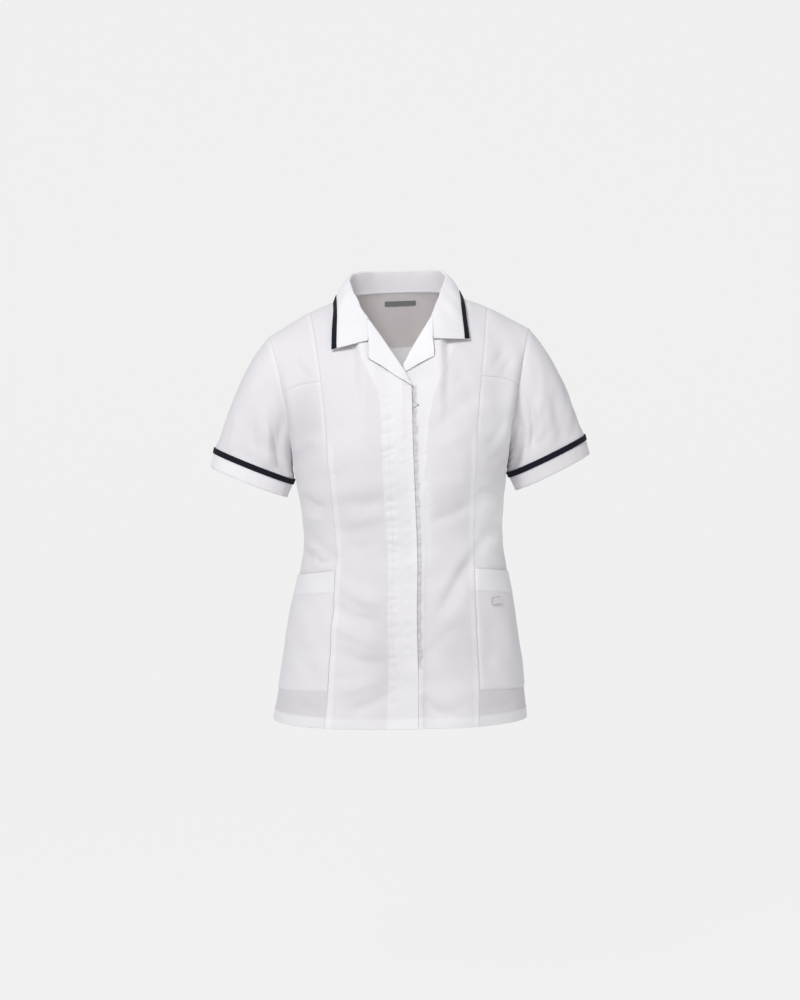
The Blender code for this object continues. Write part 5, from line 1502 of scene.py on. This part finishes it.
def makePocket(name, sign, across):
    share = sideShare(across)
    mouth, foot = pocketZ("mouth", share), pocketZ("foot", share)
    tall, look = panelRun["pocketTall"], pocketLook
    bandFrom = 1 - pocket["band"] / tall
    t = spaced(tall, panelStep["row"], (0, bandFrom * tall, tall))[:, None]
    up = (foot + (mouth - foot) * t - hemZ) / bodyHeight
    inBand = ease((t - bandFrom) / look["bandSoft"] + 0.5)
    # Its sewn edges come down to the side front
    inset = np.minimum(np.minimum(share, 1 - share)[None] * panelRun["side"], t * tall) / look["sewnRun"]
    full = pocket["lift"] + cloth + pocket["bandStep"] * inBand + pocketSwell(share[None], t)
    out = look["sewn"] + (full - look["sewn"]) * ease(inset)
    layersAndLight = layerAndLightLook["single"] + layerAndLightLook["pocket"] + layerAndLightLook[f"band{name.title()}"] * inBand
    over = repeated(sign * across, len(t))
    panel(f"pocket_{name}", over, up, -1, layersAndLight, [f"side_front_lower_{name}"], out=out)


# Seen from inside, painted light and shade: light comes through the back below the double yoke, and the
# yoke's inside is painted in shade
backInsideLightAndShade = {"yoke": (0.0, 4.2), "below": (0.45, 0.4)}


def makeBack():
    step = panelStep["column"]
    centre = spacedOut(panelRun["backCentre"], step) * 2 * seamAcross - seamAcross
    side = seamAcross + (1 - seamAcross) * spacedOut(panelRun["backSide"], step)
    for name, across in (("back_centre", centre), ("side_back_left", side), ("side_back_right", -side)):
        up = upTo(upAt(across, yokeZ, 1), panelRun["backChest"])
        over = repeated(across, len(up))
        layersAndLight = bodyLayersAndLight(over, up, 1, smoothBody(over, up, 1))
        panel(name, over, up, 1, layersAndLight, ["back_yoke"], out=hemRise(up), paintedInside=backInsideLightAndShade["below"])
    across = spacedOut(panelRun["yokeWide"], step) * 2 - 1
    seam = upAt(across, yokeZ, 1)
    up = seam + spacedOut(panelRun["yokeTall"], panelStep["yokeRow"])[:, None] * (2 - seam)
    over, sides = repeated(across, len(up)), ["side_front_upper_left", "side_front_upper_right"]
    panel("back_yoke", over, up, 1, layerAndLightLook["single"], sides, paintedInside=backInsideLightAndShade["yoke"])
    makeLabel()


def makeLabel():
    look = labelLook
    wide = spaced(panelRun["labelWide"], panelStep["labelColumn"]) * 2 - 1
    across = wide * labelAcross * look["wider"] + look["across"]
    seam = upAt(across, yokeZ, 1)
    shares = spaced(panelRun["labelTall"], panelStep["labelRow"]) * look["tall"] - look["drop"]
    rows = labelRows[0] + (labelRows[1] - labelRows[0]) * shares
    up = seam + rows[:, None] * (2 - seam)
    over, out = repeated(across, len(up)), -(cloth + labelClear)
    panel("neck_label", over, up, 1, look["tone"], ["back_yoke"], out=out,
          thick=tapeCloth * look["thick"], material=grey, slot="woven_label")


zipLook = {"rows": 150, "earRows": 14, "columns": 12, "tone": 0.5, "thick": 0.8}


def makeZip():
    ear = (zipEarZ - zipEarHalf, zipEarZ, zipEarZ + zipEarHalf, zipTopZ)
    low = np.linspace(zipBottomZ, ear[0], zipLook["rows"])[:-1]
    z = np.concatenate([low, np.linspace(ear[0], ear[-1], zipLook["earRows"])])
    share = np.clip(1 - np.abs(z - zipEarZ) / zipEarHalf, 0, 1)
    right = zipHalf + (zipEarX - zipHalf) * share
    x = -zipHalf + (right + zipHalf)[:, None] * np.linspace(0, 1, zipLook["columns"])
    across, up = place(x, z[:, None], -1)
    panel("zip_tape", across, up, -1, zipLook["tone"], ["front_left"], out=-(cloth + zipClear),
          thick=tapeCloth * zipLook["thick"], material=zipWhite, slot="zip_tape")


# moveX and moveZ take the tab to its place in the photograph
tabLook = {
    "moveX": -0.0055, "moveZ": 0.0045, "columns": 15, "rows": 12, "tone": 0.35, "thick": 0.7,
    "onBelly": 0.8, "fall": 0.0008,
}


def makeTab():
    look, half = tabLook, pocketTab["width"] / 2
    down = np.linspace(1, 0, look["rows"])
    xs = pocketTab["x"] + look["moveX"] + half * np.linspace(-1, 1, look["columns"])
    zs = pocketTab["z"] + look["moveZ"] - pocketTab["height"] * down
    across, up = place(*np.meshgrid(xs, zs), -1)
    out = pocket["lift"] + cloth + 3 * gap + tapeCloth + pocketLook["belly"] * look["onBelly"]
    out = out + look["fall"] * down[:, None] ** 2
    panel("pocket_tab", across, up, -1, look["tone"], ["pocket_left"], out=out,
          thick=tapeCloth * look["thick"], slot="white_tab")


makeFronts()
makeZip()
makeSideFronts()
makeBack()
makeTab()
print("body made")

tubeLook = {"row": 0.0031, "seamWide": 0.0012, "allowance": 0.007}


# How near a tube's rows lie to a seam, from their distances to it
def tubeSeam(away, grid):
    return np.repeat(np.exp(-((away / tubeLook["seamWide"]) ** 2))[:, None], grid.shape[1], axis=1)


# A piece that runs all round an arm
def tube(name, sign, outer, inner, layersAndLight, seam, restsOn, material=white, slot="white_cloth"):
    layersAndLight = layersAndLight + np.zeros(outer.shape[:2])
    piece = shell(name, mirrored(outer, sign), mirrored(inner, sign), layersAndLight, seam, roundIt=True)
    dress(piece, material, slot, name)
    declare(piece, cutOf(outer, True), restsOn)


def makeSleeves():
    long = panelRun["sleeve"]
    downs = spacedOut(long, tubeLook["row"])
    for name, sign, folds, creases in (
        ("left", 1, leftSleeveFolds, leftSleeveCreases),
        ("right", -1, rightSleeveFolds, rightSleeveCreases),
    ):
        outer, inner, turn = sleeveGrid(downs, folds, creases)
        seam = tubeSeam((1 - downs) * long, outer) + tubeSeam(downs * long, outer)
        end = 1 - ease((downs[:, None] * long - tubeLook["allowance"]) / tubeLook["seamWide"])
        layersAndLight = layerAndLightLook["single"] + layerAndLightLook["allowance"] * layerAndLightLook["sleeveEnd"] * end
        tube(f"sleeve_{name}", sign, outer, inner, layersAndLight, seam, ["back_yoke", f"side_front_upper_{name}"])
        makeCuff(name, sign, turn)


cuffLook = {
    "row": 0.0028, "thick": 0.0011, "waver": 0.0003, "waves": 23, "drift": 2, "driftTurn": 40,
    "tapeRow": 0.0016, "tapeThick": 0.0004, "ripple": 0.00012, "ripples": 61, "tapeTone": 0.5,
    "whiterRight": 0.24, "whiterLeft": -0.04,
}


def makeCuff(name, sign, turn):
    look, circle = cuffLook, turn * 2 * math.pi
    above = cuffBand * (1 - spacedOut(cuffBand, look["row"]))
    grid = np.array([cuffRing(turn, height) for height in above])
    normals = sleeveNormals(grid)
    uneven = look["waver"] * np.sin(circle * look["waves"] + look["drift"] * np.sin(turn * look["driftTurn"]))
    wave = uneven[None, :, None] * (1 - above / cuffBand)[:, None, None]
    outer, inner = grid + normals * wave, grid + normals * (wave - look["thick"])
    # The folded cuff band is whiter than one layer; the difference between the right and the left cuff is
    # painted light and shade
    layersAndLight = layerAndLightLook["single"] + look[f"whiter{name.title()}"]
    tube(f"cuff_{name}", sign, outer, inner, layersAndLight, tubeSeam(cuffBand - above, grid), [f"sleeve_{name}"])
    # The tape over the cuff's seam
    above = cuffBand + cuffTape * (0.5 - spacedOut(cuffTape, look["tapeRow"]))
    grid = np.array([cuffRing(turn, height) for height in above])
    normals = sleeveNormals(grid)
    ripple = look["ripple"] * np.sin(circle * look["ripples"])[None, :, None]
    outer = grid + normals * (cuffTapeClear + tapeCloth + ripple)
    inner = grid + normals * (cuffTapeClear + ripple - look["tapeThick"])
    noSeam = np.zeros(grid.shape[:2])
    tube(f"cuff_tape_{name}", sign, outer, inner, look["tapeTone"], noSeam, [f"cuff_{name}"],
         tapeNavy, "navy_tape")


makeSleeves()
print("sleeves made")

reversWhite = {"right": 0.84, "left": 1.0}


def makeRevers():
    for name, sign, under in (("right", -1, False), ("left", 1, True)):
        outer, inner = reversSides(under, sign)
        edge = np.zeros(outer.shape[:2])
        piece = shell(f"revers_{name}", outer, inner, edge + reversWhite[name], edge)
        dress(piece, white, "white_cloth", f"revers_{name}")
        _, length, area = cutOf(outer)
        ends = outer[[0, -1], 0]
        off = np.cross(outer - ends[0], unit(ends[1] - ends[0]))
        declare(piece, (float(np.linalg.norm(off, axis=-1).max()), length, area), [f"front_{name}"])


collarLook = {
    "thick": 0.0013, "waver": 0.0005, "standShadeTone": 0.38, "fallTone": 0.44, "calmEnd": 0.2,
    "tapeUnder": 0.0003, "tapeThick": 0.8, "tapeTone": 0.5, "tapePast": 0.0005,
}
# Slow waves round the neck and down the rows: turns and shifts of each
collarWaves = ((23, 0, 0.9, 1), (41, 2, 0.6, 0))
tapeEndShares = (0.25, 0.5, 0.75, 1.0)


def makeCollar():
    alongs, grid, rowAt = collarGrid()
    grid = grid.transpose(1, 0, 2)
    # Soft unevenness, none at the neck seam and the gorge
    look = collarLook
    way = sum(np.sin(alongs * turn + shift)[:, None] * np.sin(rowAt * rowTurn + rowShift)
              for turn, shift, rowTurn, rowShift in collarWaves)
    calm = ease(rowAt / 3)[None] * ease((1 - np.abs(alongs)) / look["calmEnd"])[:, None]
    grid = grid + gridNormals(grid) * (way * calm * look["waver"])[..., None]
    half = gridNormals(grid) * look["thick"] / 2
    half *= np.sign(np.sum(half[:, -1, 2]))
    outer, inner = grid + half, grid - half
    for end, _, outerEnd, innerEnd in gorgeLines(rowAt):
        outer[end], inner[end] = outerEnd, innerEnd
    noSeam = np.zeros(outer.shape[:2])
    # The stand and the roll's first rows are painted darker than the fall: painted shade inside the neck
    tone = look["standShadeTone"] + look["fallTone"] * ease((rowAt - 2.5) / 1.5)
    piece = shell("collar", outer, inner, noSeam + tone, noSeam)
    dress(piece, white, "white_cloth", "collar")
    declare(piece, cutOf(outer), ["back_yoke", "front_left", "front_right"])
    # The tape lies on the collar's own points, moved out, and runs on to the front edge at each tip
    reach = np.flatnonzero(np.abs(alongs) <= collarTip + 1e-9)
    rows = np.flatnonzero((rowAt > 10 - 1e-6) & (rowAt < 11 + 1e-6))
    strip, under = outer[reach][:, rows], inner[reach][:, rows]
    proud = unit(strip - under)
    ends = []
    for tip, before, after in ((reach[0], 1, -1), (reach[-1], -1, 1)):
        corner = outer[tip, -1]
        up, front = unit(outer[tip + before, -1] - corner), unit(outer[tip + 2 * after, -1] - corner)
        square = np.linalg.norm(np.cross(up, front))
        share = np.linspace(1, 0, len(rows))[:, None]
        far = (collarTape["margin"] + collarTape["width"] * share) / square
        end = corner + front * far + up * look["tapePast"]
        here = strip[0 if before > 0 else -1]
        ends.append([here + (end - here) * part for part in tapeEndShares])
    first, last = np.array(ends[0][::-1]), np.array(ends[1])
    strip = np.concatenate([first, strip, last])
    count = len(tapeEndShares)
    proud = np.concatenate([np.repeat(proud[:1], count, axis=0), proud, np.repeat(proud[-1:], count, axis=0)])
    low = strip + proud * (collarTape["clear"] - look["tapeUnder"])
    high = strip + proud * (collarTape["clear"] + tapeCloth * look["tapeThick"])
    noSeam = np.zeros(high.shape[:2])
    piece = shell("collar_tape", high, low, noSeam + look["tapeTone"], noSeam)
    dress(piece, tapeNavy, "navy_tape", "collar_tape")
    declare(piece, cutOf(high), ["collar"])


makeRevers()
makeCollar()
print("collar made")

stitchLook = {"pitch": 0.0031, "length": 0.0024, "width": 0.00055, "height": 0.00035, "start": 0.0005}
stitchFaces = ((0, 2, 4), (2, 1, 4), (1, 3, 4), (3, 0, 4), (0, 3, 1, 2))


# One small raised thread for each stitch along a line of points
def stitches(points, normals):
    look, steps = stitchLook, lengthsAlong(points)
    made, faces = [], []
    for start in np.arange(look["start"], steps[-1] - look["length"], look["pitch"]):
        ends = [alongLine(start + share * look["length"], steps, points) for share in (0, 0.5, 1)]
        normal = unit(alongLine(start, steps, normals))
        side = unit(np.cross(ends[2] - ends[0], normal)) * look["width"] / 2
        first = len(made) * 5
        made.append([ends[0], ends[2], ends[1] + side, ends[1] - side, ends[1] + normal * look["height"]])
        faces += [[first + k for k in face] for face in stitchFaces]
    return np.array(made).reshape(-1, 3), faces


def sewn(name, lines, material, slot):
    points, faces = [], []
    for line, normals in lines:
        made, sides = stitches(line, normals)
        first = sum(len(part) for part in points)
        points.append(made)
        faces += [[first + k for k in face] for face in sides]
    mesh = bpy.data.meshes.new(name)
    mesh.from_pydata(lean(np.concatenate(points)).tolist(), [], faces)
    mesh.shade_smooth()
    dress(addObject(name, mesh), material, slot)


# proud is how far every row stands off its cloth; the rest says where each row runs
sewing = {
    "proud": 0.00005, "flyPoints": 260,
    "zipX": 0.0335, "zipTop": -0.150, "zipFoot": -0.556, "zipPoints": 160,
    "hemUp": 0.0012, "hemPast": 0.003, "hemPoints": 420,
    "mouthUp": 0.0015, "mouthEnd": 0.03, "mouthPoints": 60,
    "cuffRows": (0.0015, 0.0235), "cuffProud": 0.0003, "cuffPoints": 300,
}


# A line of stitches on the front; one on the left front lies further in
def frontLine(xs, zs, onLeft):
    across, up = place(xs, zs, -1)
    sunk = lapDepth(smoothBody(across, up, -1)) if onLeft else 0
    return bodyLine(across, up, -1, -sunk)


def bodyLine(across, up, face, out):
    return body(across, up, face, out + sewing["proud"]), smoothNormal(across, up, face)


def makeStitching():
    look = sewing
    fly = np.array(flyStitch)
    steps = lengthsAlong(fly)
    at = np.linspace(0, steps[-1], look["flyPoints"])
    lines = [frontLine(through(at, steps, fly[:, 0]), through(at, steps, fly[:, 1]), False)]
    z = np.linspace(look["zipTop"], look["zipFoot"], look["zipPoints"])
    lines.append(frontLine(look["zipX"], z, True))
    far = placeLimit["across"]
    across = np.linspace(-far, far, look["hemPoints"])
    up = np.full(across.shape, (hemBand - look["hemUp"]) / bodyHeight)
    over, under = across < edgeHemX / hemSpan, across > (edgeHemX + look["hemPast"]) / hemSpan
    lines.append(bodyLine(across[over], up[over], -1, hemThick))
    sunk = lapDepth(smoothBody(across[under], up[under], -1))
    lines.append(bodyLine(across[under], up[under], -1, hemThick - sunk))
    lines.append(bodyLine(across, up, 1, hemThick))
    share = np.linspace(look["mouthEnd"], 1 - look["mouthEnd"], look["mouthPoints"])
    up = (pocketZ("mouth", share) - pocket["band"] + look["mouthUp"] - hemZ) / bodyHeight
    swell = pocketSwell(share, 1 - pocket["band"] / panelRun["pocketTall"])
    for sign in (-1, 1):
        across = sign * (seamAcross + (1 - seamAcross) * share)
        lines.append(bodyLine(across, up, -1, pocket["lift"] + cloth + pocket["bandStep"] + swell))
    sewn("white_stitching", lines, thread, "white_cloth")
    cuffLines = []
    for sign in (-1, 1):
        for above in look["cuffRows"]:
            ring = cuffRing(np.linspace(0, 1, look["cuffPoints"]), above)
            normals = unit(ring - ring.mean(axis=0))
            cuffLines.append((mirrored(ring + normals * look["cuffProud"], sign), mirrored(normals, sign)))
    sewn("cuff_stitching", cuffLines, thread, "white_cloth")


threadLook = {
    "base": (0.80, 0.79, 0.82, 1), "dark": (0.66, 0.65, 0.68, 1), "twist": 2500.0,
    "roughness": 0.55, "sheen": 0.1, "specular": 0.4,
}


def makeThread():
    look, bench = threadLook, Bench("white thread")
    twist = bench.noise(bench.node("ShaderNodeTexCoord")[3], look["twist"], 1.0)
    return bench.finish({
        "Base Color": bench.blend(twist, look["dark"], look["base"]),
        "Roughness": look["roughness"],
        "Sheen Weight": look["sheen"],
        "Specular IOR Level": look["specular"],
    })


thread = makeThread()
makeStitching()
print("stitching made")

stage = {"floorZ": -1.16, "wallY": 5.2, "radius": 1.2, "half": 3.4, "front": -0.9, "top": 3.2, "glow": 0.835}
stagePaint = {"base": (0.05, 0.05, 0.05, 1), "bluer": 1.002, "bends": 24}
# Each light's place, what it aims at, its size, power and colour; "inside" comes through the cloth
lights = {
    "key": ((-1.25, -2.8, 1.95), (0, 0, -0.25), 1.2, 77, (1.0, 0.995, 0.99)),
    "fill": ((2.0, -3.0, 0.3), (0, 0, -0.25), 2.0, 10, (1.0, 0.96, 0.92)),
    "inside": ((0.0, -0.005, -0.21), (0, 0.10, -0.05), 0.05, 0.017, (1.0, 0.85, 0.76)),
}
air = {"colour": (0.92, 0.92, 0.94, 1), "strength": 0.49}


def makeStage():
    turn = np.linspace(0, math.pi / 2, stagePaint["bends"])
    bendY = stage["wallY"] - stage["radius"] + stage["radius"] * np.sin(turn)
    bendZ = stage["floorZ"] + stage["radius"] - stage["radius"] * np.cos(turn)
    ys = np.concatenate([[stage["front"]], bendY, [stage["wallY"]]])
    zs = np.concatenate([[stage["floorZ"]], bendZ, [stage["top"]]])
    points = [(x, y, z) for x in (-stage["half"], stage["half"]) for y, z in zip(ys, zs)]
    count = len(ys)
    mesh = bpy.data.meshes.new("backdrop")
    mesh.from_pydata(points, [], [(k, k + 1, count + k + 1, count + k) for k in range(count - 1)])
    mesh.shade_smooth()
    piece = addObject("backdrop", mesh)
    bench = Bench("pale backdrop")
    glow = stage["glow"]
    piece.data.materials.append(bench.finish({
        "Base Color": stagePaint["base"],
        "Roughness": 1.0,
        "Specular IOR Level": 0.0,
        "Emission Color": (glow, glow, glow * stagePaint["bluer"], 1),
        "Emission Strength": 1.0,
    }))


def makeLights():
    for name, (at, aim, size, power, colour) in lights.items():
        light = bpy.data.lights.new(name, "AREA")
        light.shape, light.size, light.energy, light.color = "DISK", size, power, colour
        made = addObject(name, light)
        made.location = at
        made.rotation_euler = (Vector(aim) - made.location).to_track_quat("-Z", "Y").to_euler()
        made.visible_camera = False
    world = bpy.data.worlds.new("studio air")
    bpy.context.scene.world = world
    world.use_nodes = True
    back = world.node_tree.nodes["Background"]
    back.inputs["Color"].default_value = air["colour"]
    back.inputs["Strength"].default_value = air["strength"]


makeStage()
makeLights()
bpy.context.scene.view_settings.view_transform = "Standard"
print("stage made")
